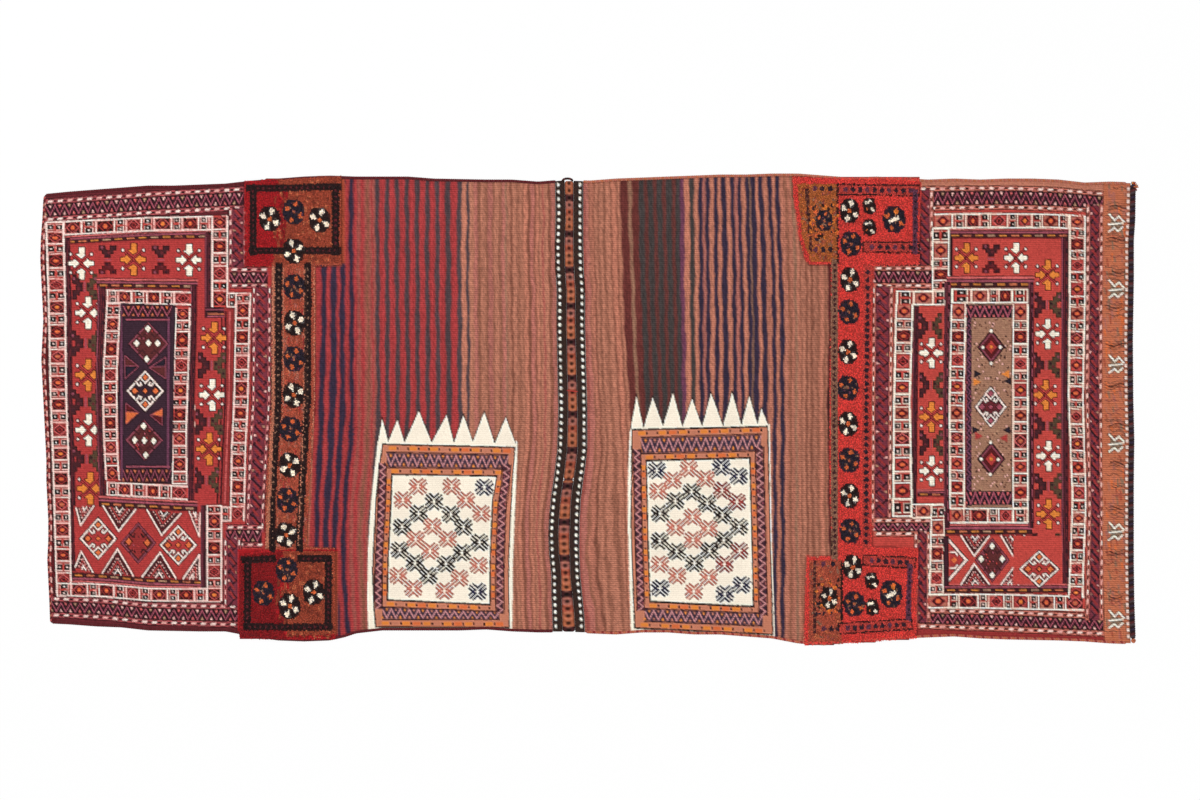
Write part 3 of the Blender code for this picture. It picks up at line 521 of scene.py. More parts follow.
# left face, from its outer edge in
leftFace = {
    "field": ((38, 180), (295, 175), (295, 650), (38, 630)),
    "outerFrame": {"low": bag["top"], "high": ((44, 222), (150, 217.5), (228, 217))},
    "whiteTop": {"low": ((47, 222), (150, 217.5), (228, 216)), "high": ((47, 236), (150, 231), (228, 230)),
    "edges": (47, 65, 81, 97, 114, 127, 141, 155, 171, 183, 198, 210, 228), "first": "H"},
    "whiteLeft": {"low": ((222, 46), (240, 46.5), (300, 48.5), (350, 49.5), (400, 50.5), (450, 52.5),
    (500, 54), (600, 57)),
    "high": ((222, 64), (240, 64.5), (300, 66), (400, 67), (450, 69), (500, 70), (600, 72)),
    "edges": (222, 232.5, 243.5, 254.5, 267.5, 279.5, 290, 301.5, 313, 325.5, 338, 350, 363,
    376.5, 389, 399, 410.5, 423, 436.5, 448, 459.5, 472.5, 485.5, 498, 511, 523.5, 536, 549.5, 560.5, 573.5,
    586, 596), "first": "H"},
    "whiteBottom": {"low": ((57, 583), (100, 583.5), (150, 588), (222, 588.5)),
    "high": ((57, 596), (100, 596.5), (150, 601), (222, 601.5)),
    "edges": (57, 72, 87, 100, 113.5, 127, 139, 152, 167, 179, 194, 207, 221),
    "first": "H"},
    "whiteUpper": {"low": 212, "high": 228, "edges": (216, 229, 240.3, 252.5, 266.5, 280.5, 291.5, 307),
    "first": "d"},
    "whiteStep": {"low": 293, "high": 307, "edges": (227, 237), "first": "H"},
    "whiteMiddle": {"low": ((293, 236), (320, 235.5), (400, 234), (450, 231.5), (521, 230.5)),
    "high": ((293, 251), (320, 250), (400, 248.5), (450, 246), (521, 244.5)),
    "edges": (293, 303.5, 317.5, 331, 343.5, 356, 369, 381.5, 396, 407.5, 419, 431, 442,
    454.5, 467.5,
    480.5, 493, 507, 521), "first": "H"},
    "whiteLowStep": {"low": 507, "high": 521, "edges": (220, 231), "first": "H"},
    "whiteLower": {"low": 207, "high": 222, "edges": (505, 514, 528.5, 541.5, 554.5, 565.5, 577.5, 588.5,
    601), "first": "H"},
}


def innerBand(run, t0, t1):
    stations = np.linspace(run["start"], run["end"], 14)
    edges = [tuple((a, float(guide(run["low"], a)) * (1 - t) + float(guide(run["high"], a)) * t)
        for a in stations) for t in (t0, t1)]
    return band(run["along"], run["start"], run["end"], *edges)


# dash row, zigzag and dash row side by side, as in every guard frame of the faces
def framePart(run, seed=0, ground="dashGround"):
    span = abs(float(guide(run["high"], run["start"])) - float(guide(run["low"], run["start"])))
    block(run, run["start"], run["end"], -0.03, 1.03, "blackBrown", 0.0)
    edge, dash = (4.4 if run["along"] == "x" else 3.4) / span, (2.0 if run["along"] == "x" else 1.5) / span
    if run["along"] == "x":
        zigzag(innerBand(run, edge * 1.15, 1 - edge * 1.15), 9.6, "wine", "mauve", seed=seed)
    else:
        inside = innerBand(run, edge * 1.0, 1 - edge * 1.0)
        zigzag(inside, 17.0, "frameRose", "wine", ("rose", "frameRose", "tan", "frameRose"), 1.5, seed, 0.5)
        for a in np.arange(run["start"] + 3, run["end"] - 9, 8.5):
            stroke([at(inside, a, 0.3), at(inside, a + 5.5, 0.72)], 2.0, "madder", 0.3)
            stroke([at(inside, a + 3.4, 0.2), at(inside, a + 8.2, 0.6)], 0.9, "stripeNavy", 0.1)
    for t0 in (0.0, 1 - edge):
        block(run, run["start"], run["end"], t0, t0 + edge, ground, 0.1)
        middle = t0 + edge / 2
        row = innerBand(run, middle - dash / 2, middle + dash / 2)
        inset = 0.0 if run["along"] == "x" else 0.1
        dashes(row, 9.8, 4.6, "blush", inset, 1.0 - inset, lean=0.7, others=("blush", "blush", "rose"))
        row["start"] += 5.4
        dashes(row, 9.8, 3.6, "stepped", 0.0, 1.0, lift=0.1, lean=0.5)


def guard(run, dashYarn="ochre"):
    level = run["along"] == "x"
    for t0, t1, yarn in ((0.0, 1.0, "stepped" if level else "wine"),
            (0.06, 0.2, "pink" if level else "dusk"), (0.32, 0.46, "mauve" if level else "plum"),
            (0.88, 1.0, "madder")):
        block(run, run["start"], run["end"], t0, t1, yarn, 0.1)
    others = (dashYarn, "rust", dashYarn, "tan") if level else None
    dashes(innerBand(run, 0.6, 0.73), 12.0, 7.6, dashYarn, 0.0, 1.0, lift=0.3, others=others)


def guards(runs):
    for run in runs:
        guard(run, "ochre" if run["along"] == "x" else "plum")


leftFace["strips"] = (
    (band("x", 42, 246, bag["top"], leftFace["outerFrame"]["high"]), "plum", 0.0),
    (band("x", 48, 240, ((48, 596), (100, 596.5), (150, 601), (240, 601.5)), bag["bottom"]), "plum", 0.0),
    (band("y", 193, 625, bag["leftEnd"], leftFace["whiteLeft"]["low"]), "maroon", -0.5))
leftFace["selvedge"] = band("y", 200, 618, shifted(bag["leftEnd"], 2.6), shifted(bag["leftEnd"], 4.3))
# frames of dashes and zigzag round the white border
leftFace["frames"] = (
    (band("x", 46, 244, ((44, 200), (150, 192), (244, 187)), ((44, 222), (150, 215), (244, 210))), 0),
    (band("x", 52, 240, ((52, 596.5), (100, 598), (150, 603), (240, 604)),
    ((52, 617), (100, 619), (150, 624.5), (240, 627))), 0), (band("y", 208, 268, 229, 247), 1),
    (band("x", 230, 268, 267.5, 288), 2),
    (band("y", 286, 532, ((286, 252.5), (400, 252), (450, 249), (500, 247), (532, 246)),
    ((286, 271.5), (400, 271), (450, 268), (500, 265), (532, 264))), 0), (band("x", 226, 262, 525, 547), 1),
    (band("y", 538, 606, 224, 241), 2))
# guards inside the white border
leftFace["guards"] = (
    band("x", 64, 208, ((64, 235.5), (150, 231), (208, 230)), ((64, 245.5), (150, 240.5), (208, 239.5))),
    band("y", 238, 586, leftFace["whiteLeft"]["high"], shifted(leftFace["whiteLeft"]["high"], 6.5)),
    band("x", 72, 206, ((72, 583), (100, 583.5), (150, 588), (206, 588.5)),
    ((72, 571), (100, 572), (150, 577), (206, 579.5))), band("y", 232, 310, 205, 212),
    band("y", 505, 590, 201, 207))
leftFace["step"] = band("x", 205, 237, 307, 318)
leftFace["stepLines"] = (
    ([(206, 309.6), (236, 309.6)], 1.2, "dusk", 0.3), ([(208, 313.8), (236, 313.8)], 1.2, "rust", 0.3),
    ([(208, 316.6), (236, 316.6)], 1.2, "mauve", 0.3))
leftFace["column"] = band("y", 307, 505, ((307, 224), (400, 223), (450, 221), (505, 219)),
    leftFace["whiteMiddle"]["low"])
leftFace["columnLines"] = (
    ([(230, 312), (229, 400), (227, 450), (225, 503)], 1.2, "pink", 0.0),
    ([(226, 312), (225.5, 400), (223, 450), (221, 503)], 1.6, "wine", 0.0),
    ([(222, 318), (222, 400), (219.5, 450), (217.5, 503)], 1.6, "blackBrown", 0.0))
leftFace["borders"] = (("whiteTop", "x"), ("whiteLeft", "y"), ("whiteBottom", "x"), ("whiteUpper", "y"),
    ("whiteStep", "x"), ("whiteMiddle", "y"), ("whiteLowStep", "x"), ("whiteLower", "y"))
leftFace["stars"] = ((81.5, 263.5, "ivory"), (133.5, 259.5, "orange"), (189, 260, "ivory"),
    (88, 313, "ivory"),
    (88, 375, "orange"), (88.5, 430, "ivory"), (90, 488.5, "orange"), (214, 338, "orange"),
    (212, 395, "ivory"), (209, 449, "orange"))
leftFace["upright"] = ((108, 260), (161, 260))
leftFace["stepped"] = ((85, 287, 12.5), (86, 343.5, 15), (86, 402, 15), (87, 459, 15), (212, 365.5, 14),
    (209, 422, 14), (206.5, 480, 13))
leftFace["innerLine"] = ([(195, 290), (195, 400), (193, 500)], 1.4, "ivory", 0.3)


def paintLeftFace():
    face = leftFace
    fill(face["field"], "brick", 0.0)
    for run, yarn, t0 in face["strips"]:
        strip(run, yarn, t0)
    dashes(face["selvedge"], 10.4, 5.4, "rose", 0.0, 1.0, "madder", 0.4)
    for run, seed in face["frames"]:
        framePart(run, seed)
    guards(face["guards"])
    strip(face["step"], "wine")
    strokes(face["stepLines"])
    strip(face["column"], "madder")
    strokes(face["columnLines"])
    paintBorders(face, face["borders"], "blush", cellTones["grounds"])
    for x, y, yarn in face["stars"]:
        arrowStar(x, y, yarn, 0.98)
    for x, y in face["upright"]:
        facingSteps(x, y, 14.5, True, 9.0)
    for x, y, half in face["stepped"]:
        facingSteps(x, y, half)
    strokes([face["innerLine"]])


leftInner = {
    "guardTop": {"low": ((98, 278), (196, 279)), "high": ((98, 289), (196, 290.5))},
    "top": {"low": ((107, 290), (191, 292)), "high": ((107, 303), (191, 305)),
    "edges": (107, 119, 131, 148, 160, 175, 191), "first": "H"},
    "left": {"low": ((303, 107), (330, 105.5), (370, 103.5), (400, 103), (440, 104), (460, 105),
    (495, 107)),
    "high": ((303, 121), (340, 119), (370, 117.5), (430, 117.5), (460, 118.5), (495, 121)),
    "edges": (303, 318, 330.5, 342, 356, 369, 381, 393, 404.5, 417, 429, 441, 453.5, 466, 480),
    "first": "H"},
    "right": {"low": ((305, 176), (340, 175), (380, 173.5), (430, 172), (483, 172.5)),
    "high": ((305, 190.5), (340, 190), (380, 188.5), (430, 187), (500, 187.5)),
    "edges": (308, 320, 332, 348, 359, 372, 384, 397, 408, 421, 432, 445, 457.5, 471, 484),
    "first": "d"},
    "bottom": {"low": ((107, 482), (188, 486)), "high": ((107, 495), (188, 500)),
    "edges": (107, 119, 131, 147.5, 159, 172, 188), "first": "H"},
    "opening": ((121.5, 303), (176, 305), (174, 400), (172, 484), (121, 482), (118, 400)),
}


leftInner["guards"] = (
    band("x", 97, 198, leftInner["guardTop"]["low"], leftInner["guardTop"]["high"]),
    band("y", 286, 500, ((286, 98), (370, 96), (400, 96), (460, 98), (500, 100)), leftInner["left"]["low"]),
    band("y", 286, 502, leftInner["right"]["high"], ((286, 198), (340, 197.5), (380, 196), (430, 195),
    (502, 195))), band("x", 99, 198, ((99, 495), (188, 500)), ((99, 508), (198, 513))))
leftInner["sideLines"] = (
    ([(121.5, 305), (122, 480)], 2.4, "purple", 0.1), ([(169, 305), (168, 480)], 2.4, "purple", 0.1))
leftInner["zigzags"] = (
    (band("x", 124, 172, 305.5, 317), 9.6, "wine", "mauve", ("rust", "ember", "rust")),
    (band("x", 123.5, 171, 469, 482), 8.6, "wine", "dusk", ("rust", "rust")))
leftInner["zigzagLines"] = (
    ([(127, 319.6), (169.5, 319.6)], 1.3, "mauve", 0.3),
    ([(127, 466.8), (169.5, 466.8)], 1.3, "mauve", 0.3))
# two-coloured darts at the sides of the dark field
leftInner["darts"] = (
    (((125.5, 356.5), (138.3, 366.6), (125.5, 366)), "redBrown"),
    (((125.5, 366), (138.3, 366.6), (125.5, 378)), "navy"),
    (((165.5, 358), (150.5, 367.6), (165.5, 367)), "navy"),
    (((165.5, 367), (150.5, 367.6), (165.5, 378)), "redBrown"),
    (((126.5, 404), (138.3, 412.8), (126.5, 412)), "maroon"),
    (((126.5, 412), (138.3, 412.8), (126.5, 423.5)), "ember"),
    (((162.3, 409), (151, 415.2), (162.3, 417)), "ember"),
    (((162.3, 417), (151, 415.2), (162.3, 424.5)), "maroon"))
leftInner["upperDots"] = ((148.2, 328.5), (137, 343.3), (148.7, 343), (158, 343.3), (147, 359))
leftInner["lowerDots"] = ((144, 426), (135, 440), (144.5, 440.5), (154, 441), (146, 455))
# lower band of medallions and triangles
leftBand = {
    "ground": ((74, 506), (199, 513), (200, 578.5), (150, 576), (76, 571)),
    "triangles": (((118.9, 531), (103.5, 506), (136, 509.5)), ((161.9, 535), (147.5, 510), (181, 513.5)),
    ((81, 525), (76.5, 508), (94, 506)), ((199.5, 536), (190, 512), (200, 513)),
    ((117.8, 549), (102.5, 573), (133.5, 575.5)), ((160.4, 552.5), (142.5, 576.5), (176, 578)),
    ((81.6, 551.5), (75.5, 567), (93, 572)), ((199.5, 555), (183.5, 578.5), (200, 579))),
    "dots": ((129, 541.5), (147.5, 542.5)),
}


def paintLeftMiddle():
    inner = leftInner
    guards(inner["guards"])
    paintBorders(inner, (("top", "x"), ("left", "y"), ("right", "y"), ("bottom", "x")), "blush",
        cellTones["grounds"])
    fill(inner["opening"], "fieldNavy", 0.0)
    strokes(inner["sideLines"])
    for zigzagRow in inner["zigzags"]:
        zigzag(*zigzagRow)
    strokes(inner["zigzagLines"])
    for points, yarn in inner["darts"]:
        outlined(points, yarn, 0.2, "dusk")
    brownDiamond(148.7, 343.8, 20, 21.5, "redBrown", inner["upperDots"])
    brownDiamond(144.5, 440, 18.5, 20, "redBrown", inner["lowerDots"])
    hookedDiamond(145.5, 391, 18.5, 20.5, "fieldNavy")
    fill(leftBand["ground"], "brick", 0.0)
    for apex, left, right in leftBand["triangles"]:
        chevronTriangle(apex, left, right)
    hookedDiamond(98.5, 538.5, 18.5, 21)
    brownDiamond(138.5, 543, 17.5, 20.5, "madder", leftBand["dots"], "ember")
    hookedDiamond(178.5, 545, 18.5, 20)


paintLeftFace()
paintLeftMiddle()
print("left face drawn")

rightFace = {
    "field": ((845, 170), (1134, 170), (1134, 655), (845, 655)),
    "whiteTop": {"low": ((934, 214), (1000, 213.5), (1050, 214), (1085, 216)),
    "high": ((934, 228.5), (1000, 228), (1050, 228), (1085, 229.5)),
    "edges": (934, 951.5, 966.5, 979, 990.5, 1007, 1018, 1031, 1042.5, 1058.5, 1068, 1085),
    "first": "d"},
    "whiteLeftUpper": {"low": 932, "high": 949, "edges": (228, 243, 258, 269, 280, 290.5, 305),
    "first": "H"},
    "whiteStepUpper": {"low": 291, "high": 305, "edges": (896, 914.5, 932, 948), "first": "H"},
    "whiteLeft": {"low": ((304, 895.5), (400, 893.5), (500, 892.5)), "high": ((304, 913), (400, 910),
    (500, 912)),
    "edges": (304, 318.5, 330, 342, 354, 369, 381.5, 393.5, 407.5, 419.5, 432, 444.5, 458,
    471, 483.5, 498, 517),
    "first": "d"},
    "whiteStepLower": {"low": 504, "high": 518, "edges": (912, 916, 931, 945), "first": "H"},
    "whiteLeftLower": {"low": ((504, 931), (592, 929)), "high": ((504, 945), (592, 943)),
    "edges": (504, 520.5, 534.5, 547, 560, 572, 584, 594), "first": "H"},
    "whiteBottom": {"low": ((928, 594), (1000, 594), (1085, 596)), "high": ((928, 608), (1000, 608.5),
    (1085, 610.5)),
    "edges": (928, 948, 959.5, 977, 989, 1003, 1013, 1028, 1039, 1053.5, 1066, 1084),
    "first": "d"},
    "whiteRight": {"low": ((216, 1069), (300, 1069), (400, 1068), (500, 1072), (580, 1069), (600, 1068)),
    "high": ((216, 1085), (300, 1085), (400, 1083), (500, 1086), (580, 1083), (600, 1083)),
    "edges": (216, 228, 238.5, 250.5, 259.5, 271.5, 282.5, 296, 307.5, 320, 332, 344.5,
    358.5, 372, 387, 399.5, 409.5, 423.5, 437.5, 450, 461, 473.5, 486.5, 499.5, 513, 523.5, 538,
    549.5, 563.5,
    574, 587, 598), "first": "d"},
    "stars": ((966, 258, "orange"), (1015.5, 258, "ivory"), (1047, 275, "orange"), (931, 353, "ivory"),
    (931, 417, "orange"),
    (931, 471, "ivory"), (1047, 334, "ivory"), (1045, 395, "orange"), (1048, 456, "ivory"),
    (1048, 514, "orange")),
    "upright": (991, 259),
    "stepped": ((930, 326, 12.0), (931, 385, 12.0), (931, 443, 12.0), (1047, 305, 14.0), (1046, 365, 14.0),
    (1047, 426, 14.0), (1048, 486, 14.0), (1046, 546, 14.0)),
    "topStrip": band("x", 905, 1104, bag["top"], ((905, 190), (1104, 196))),
    "bottomStrip": band("x", 905, 1104, ((905, 626), (1104, 634)), bag["bottom"]),
    "frames": (
    (band("x", 918, 1104, ((918, 187), (1000, 186), (1050, 187.5), (1104, 192)),
    ((918, 211), (1000, 209), (1050, 210.5), (1104, 213))), 0),
    (band("x", 918, 1104, ((918, 608), (1000, 609.5), (1104, 614)), ((918, 628), (1000, 631),
    (1104, 636))), 0), (band("y", 205, 620, ((205, 1086), (400, 1085), (500, 1088), (620, 1085)),
    ((205, 1103), (400, 1102), (500, 1103), (620, 1103))), 0), (band("y", 190, 290, 914, 933), 1),
    (band("x", 874, 932, 266, 288), 2),
    (band("y", 286, 526, ((286, 872), (526, 871)), ((286, 893), (526, 891))), 0),
    (band("x", 874, 930, 518, 536), 1), (band("y", 532, 622, 914, 930), 2)),
    "guards": (band("x", 948, 1070, 228, 239.5), band("y", 238, 586, 1061, 1069), band("x", 944, 1070, 583,
    593.5), band("x", 917, 944, 489, 497), band("y", 238, 306, 948, 953),
    band("y", 304, 506, ((304, 913), (500, 911)), ((304, 919), (500, 917)))),
    "borders": (("whiteTop", "x"), ("whiteLeftUpper", "y"), ("whiteStepUpper", "x"), ("whiteLeft", "y"),
    ("whiteStepLower", "x"), ("whiteLeftLower", "y"), ("whiteBottom", "x"), ("whiteRight", "y")),
}
# end band: worn rust wool with the row of closure slits and white zigzag darning, with painted shade along
# its creases and along the wrinkles by each slit
endBand = {
    "ground": band("y", 175, 650, bag["endBand"], 1134),
    "left": 1104, "streakRight": 1128, "streakTop": 184, "streakBottom": 636,
    "creaseShadeRight": 1114, "creaseShadeTop": 186, "creaseShadeBottom": 632,
    "streakTones": ("rust", "webRust", "salmonDeep", "hatch", "rosewood", "ember"),
    "creaseShadeTones": ("umber", "clay", "bark"),
    "wrinkleShades": ((0, "stepped"), (3.0, "bark"), (-3.4, "umber"), (7.6, "umber"), (-8.2, "rust")),
    "darning": (224, 290, 365, 444, 532, 620),
    "beads": 72, "firstBead": 189, "beadPitch": 6.3, "beadInset": 1.9,
}
slits = {"rows": (207, 239, 272, 307, 345, 385, 425, 463, 508, 553, 597), "from": 1108, "to": 1124.5,
    "half": 0.44}


def paintRightFace():
    face = rightFace
    fill(face["field"], "warmRed", 0.0)
    strip(face["topStrip"], "salmon", -0.2)
    strip(face["bottomStrip"], "madder", 0.0, 1.2)
    for run, seed in face["frames"]:
        framePart(run, seed, "salmonGround")
    guards(face["guards"])
    paintBorders(face, face["borders"], "ivory", cellTones["rightGrounds"])
    for x, y, yarn in face["stars"]:
        arrowStar(x, y, yarn, 0.92)
    facingSteps(*face["upright"], 14.5, True, 9.0)
    for x, y, half in face["stepped"]:
        facingSteps(x, y, half)


def paintEndBand():
    worn = endBand
    strip(worn["ground"], "endRust")
    streaks = scattered(300, worn["left"], worn["streakTop"], worn["streakRight"], worn["streakBottom"])
    for i, (x, y) in enumerate(streaks):
        end = (x + 0.8, y + 3 + 5 * chance.random())
        stroke([(x, y), end], 1.8, worn["streakTones"][i % 6], 0.1)
    # painted shade: short dark zigzag lines where the band creases
    creaseShades = scattered(46, worn["left"], worn["creaseShadeTop"], worn["creaseShadeRight"], worn["creaseShadeBottom"])
    for i, (x, y) in enumerate(creaseShades):
        stroke([(x, y), (x + 4, y + 1.6), (x + 8, y - 0.6), (x + 13, y + 1.2)], 0.9,
            worn["creaseShadeTones"][i % 3], 0.0)
    # painted shade: a dark line along each slit and lines of shade along the wrinkles beside it
    for k, y in enumerate(slits["rows"]):
        for away, dark in worn["wrinkleShades"]:
            reach = 0.55 + 0.45 * chance.random()
            start = (1 - reach) * chance.random()
            bow = [(1104.5 + 22 * f, y + away + 1.5 * cos(2.2 * pi * f + 0.9 * k))
                for f in np.linspace(start, start + reach, 9)]
            stroke(bow, 1.0 if away == 0 else 0.8, dark, 0.0)
    for y in worn["darning"]:
        fill([(1110, y - 7), (1114, y - 3), (1122, y - 2), (1122, y + 3), (1110, y + 7)], "hatch", 0.0)
        stroke([(1109.2, y - 9.4), (1114.4, y - 3.6), (1118.5, y - 7.6), (1123.6, y - 2.4)], 1.6, "ivory",
            0.5)
        stroke([(1108.8, y + 0.6), (1122.5, y - 0.9)], 1.6, "ivory", 0.5)
        stroke([(1108.8, y + 7.7), (1114.2, y + 3.8), (1117.7, y + 7.3), (1122.2, y + 3.2)], 1.6, "ivory",
            0.5)
    for i in range(worn["beads"]):
        y = worn["firstBead"] + worn["beadPitch"] * i
        dot(float(guide(bag["rightEnd"], y)) - worn["beadInset"], y, 3.6, "blush", 0.5)


rightInner = {
    "top": {"low": 289, "high": 303, "edges": (951, 972, 987.5, 999, 1011, 1028), "first": "H"},
    "left": {"low": ((303, 951), (400, 949), (508, 949.5), (523, 950)), "high": ((303, 966), (400, 964),
    (508, 964.5), (523, 965)),
    "edges": (304, 319.5, 331, 342.5, 354, 366, 381, 392, 406, 420, 432, 443, 457.5, 470, 481,
    492.5, 509), "first": "d"},
    "right": {"low": 1012.5, "high": 1028,
    "edges": (304, 320, 330.5, 343.5, 357.5, 370, 383, 397, 409.5, 421.5, 433.5, 448.5, 461,
    472.5, 486, 499, 510),
    "first": "d"},
    "bottom": {"low": 508, "high": 523, "edges": (950, 963, 970.5, 987, 999, 1012, 1028), "first": "d"},
}


rightInner["levelGuards"] = (band("x", 946, 1034, 276, 289), band("x", 944, 1032, 523, 536))
rightInner["sideGuards"] = (
    band("y", 282, 528, ((282, 944.5), (400, 943), (528, 944)), rightInner["left"]["low"]),
    band("y", 282, 528, 1028, 1034))
rightInner["opening"] = ((966, 303.5), (1012, 303.5), (1012, 508), (966, 508))
rightInner["zigzags"] = (
    (band("y", 305, 506, 966, 971.5), 9, "navy", "purple", ("mauve", "purple"), 1.2),
    (band("x", 966, 1012, 305, 318), 9.2, "navy", "mauve", ("pink", "pink"), 1.2),
    (band("x", 966, 1012, 491, 505), 9.2, "navy", "mauve", ("pink", "pink"), 1.2))
rightInner["diamonds"] = (
    (347, ((991, 331), (982.5, 347.5), (1000, 347), (991, 363.5))),
    (459, ((990.5, 442.5), (981, 459), (998, 459.5), (990, 474.5))))
rightInner["darts"] = (
    (977, 382, "orange", 4), (1005, 374, "orange", -4), (978, 374, "navy", 4), (1007, 381, "navy", -4),
    (976, 430, "navy", 4), (1006, 430, "navy", -4), (979, 436, "brick", 4), (1003, 438, "brick", -4))
# lower band of medallions and triangles
rightBand = {
    "ground": ((948, 536), (1013, 536), (1013, 584), (948, 584)),
    "half": ((950, 543), (964, 560), (950, 577)),
    "halfEdge": ((949, 540.5), (966, 560), (949, 579.5)),
    "end": band("y", 536, 586, 943, 948.6),
    "field": band("x", 1013, 1062, 536, 584),
    "left": (((974, 556), (961, 536), (989, 536)), ((974, 564), (961, 584), (989, 584))),
    "right": (((1013, 556), (1001, 536), (1024, 536)), ((1013, 568), (1001, 584), (1018, 584))),
    "dots": ((992, 546), (981, 559), (1002, 559), (992, 575)),
}


def paintRightMiddle():
    inner = rightInner
    for run in inner["levelGuards"]:
        guard(run)
    for run in inner["sideGuards"]:
        guard(run, "mauve")
    borders = (("top", "x"), ("left", "y"), ("right", "y"), ("bottom", "x"))
    paintBorders(inner, borders, "ivory", cellTones["rightGrounds"])
    fill(inner["opening"], "greyBrown", 0.0)
    for x, y in scattered(420, 972, 306, 1012, 504):
        dot(x, y, 1.9, picked(("stepped", "tan", "bark", "rose")), 0.1)
    for zigzagRow in inner["zigzags"]:
        zigzag(*zigzagRow)
    for y, points in inner["diamonds"]:
        for halfX, halfY, yarn, lift in ((14.5, 18, "stepped", 0.2), (12, 15, "dusk", 0.2),
                (10, 12.5, "maroon", 0.3), (5.5, 6.5, "brick", 0.3)):
            diamond(991, y, halfX, halfY, yarn, lift)
        for px, py in points:
            dot(px, py, 3.2, "ivory", 0.6)
        dot(991, y, 3.4, "orange", 0.4)
    for x, y, yarn, reach in inner["darts"]:
        fill([(x - reach, y - 4), (x + reach, y), (x - reach, y + 4)], yarn, 0.3)
    hookedDiamond(990.5, 407, 15.5, 20.5, "plum", "mauve")
    fill(rightBand["ground"], "warmRed", 0.0)
    fill(rightBand["half"], "brick", 0.0)
    stroke(rightBand["halfEdge"], 4.2, "stepped", 0.0)
    stroke(rightBand["halfEdge"], 2.3, "blush", 0.5)
    for y, turn in ((552, 3), (568, -3)):
        stroke([(950, y), (955, y), (957, y + turn)], 1.5, "blush", 0.5)
    diamond(954, 560, 3.0, 3.2, "ember", 0.4)
    strip(rightBand["end"], "wine", lift=0.1)
    for corners in rightBand["left"]:
        chevronTriangle(*corners)
    brownDiamond(992, 560, 17, 22, "redBrown", rightBand["dots"])
    for corners in rightBand["right"]:
        chevronTriangle(*corners)
    strip(rightBand["field"], "warmRed")
    hookedDiamond(1039, 569, 20, 18.5)


paintRightFace()
paintEndBand()
paintRightMiddle()
print("right face drawn")

# brocaded white panels with their dovetailed teeth
panels = {
    "left": {
    "corners": ((382.3, 443.4), (515.5, 446.6), (509.9, 628.4), (375.1, 627.6)),
    "margin": ((378, 441), (371.5, 500), (368.5, 545), (367.5, 600), (368.5, 632), (512, 632),
    (512.5, 600), (512.8, 560), (514.5, 520), (517.5, 446), (517, 441)),
    "inner": ((392.7, 475.3), (496.3, 476.9), (492, 500), (489.5, 560), (489.5, 603.6), (388.4, 598.9),
    (389, 560), (392, 500)),
    "frame": ((382.3, 443.4), (515.5, 446.6), (513, 480), (511, 520), (509.3, 560), (509.3, 600),
    (509.9, 628.4), (375.1, 627.6), (373, 600), (372, 570), (373, 550), (375.5, 500), (379, 465)),
    "teeth": ((382.3, 417.1), (388.4, 441), (397.5, 418.7), (404.6, 441.8), (419, 409.9),
    (431.7, 441.8), (446.9, 413.9),
    (454, 441.8), (463.6, 413.9), (472.9, 441), (484.4, 410.7), (494.7, 442.6),
    (505.9, 416.3), (515.5, 442.6)),
    "start": (378, 441),
    "crosses": [(360 + x / 6.272, 390 + y / 6.272, yarn) for x, y, yarn in (
    (270, 690, "paleCross"), (365, 605, "paleCross"), (575, 605, "paleCross"),
    (780, 610, "inkBlue"), (465, 700, "blackBrown"),
    (665, 690, "paleCross"), (368, 775, "blackBrown"), (570, 780, "blackBrown"),
    (762, 775, "paleCross"), (265, 860, "blackBrown"),
    (455, 855, "paleCross"), (650, 860, "blackBrown"), (350, 935, "paleCross"),
    (550, 935, "paleCross"), (750, 955, "blackBrown"),
    (250, 1005, "blackBrown"), (440, 1010, "paleCross"), (640, 1020, "blackBrown"),
    (345, 1085, "blackBrown"),
    (540, 1090, "blackBrown"), (745, 1100, "paleCross"), (240, 1165, "paleCross"),
    (430, 1165, "blackBrown"), (625, 1180, "paleCross"),
    (335, 1245, "paleCross"), (530, 1260, "paleCross"), (738, 1265, "inkBlue"))],
    },
    "right": {
    "corners": ((631.3, 428.9), (768.4, 425.6), (773.4, 635.3), (634.1, 628.7)),
    "margin": ((630, 427), (628, 480), (628, 530), (631, 632), (774.6, 638), (772, 560), (769.5, 424)),
    "inner": ((647, 461.6), (749, 458.8), (751, 530), (752.6, 605.5), (650.7, 600.5), (648.5, 530)),
    "frame": ((631.3, 428.9), (768.4, 425.6), (770.5, 530), (773.4, 635.3), (634.1, 628.7),
    (630.5, 530)),
    "teeth": ((636.5, 394), (643.5, 427), (652.5, 396), (663, 425), (673, 391.5), (682.5, 426),
    (692, 397.5), (702, 425.5),
    (711, 392), (723, 425), (732, 391), (741.5, 424), (749, 394), (757.5, 423.5), (761, 407), (768, 424)),
    "start": (630, 431),
    "crosses": [(620 + x / 6.031, 380 + y / 6.031, yarn) for x, y, yarn in (
    (222, 545, "inkBlue"), (610, 525, "inkBlue"), (715, 580, "inkBlue"), (242, 1255, "inkBlue"),
    (632, 1290, "inkBlue"), (733, 1235, "inkBlue"), (415, 535, "paleCross"),
    (318, 605, "paleCross"), (515, 595, "paleCross"),
    (230, 670, "paleCross"), (437, 825, "paleCross"), (335, 890, "paleCross"),
    (533, 895, "paleCross"), (440, 965, "paleCross"),
    (240, 1110, "paleCross"), (345, 1180, "paleCross"), (535, 1190, "paleCross"),
    (445, 1275, "paleCross"), (615, 665, "brick"),
    (705, 735, "brick"), (720, 1030, "brick"), (630, 1110, "brick"), (432, 675, "blackBrown"),
    (525, 745, "blackBrown"), (333, 730, "blackBrown"), (242, 805, "blackBrown"), (618, 815, "blackBrown"),
    (718, 885, "blackBrown"), (240, 970, "blackBrown"), (625, 965, "blackBrown"), (342, 1035, "blackBrown"),
    (540, 1030, "blackBrown"), (448, 1105, "blackBrown"))],
    },
}


def between(a, b, f):
    return a[0] + (b[0] - a[0]) * f, a[1] + (b[1] - a[1]) * f


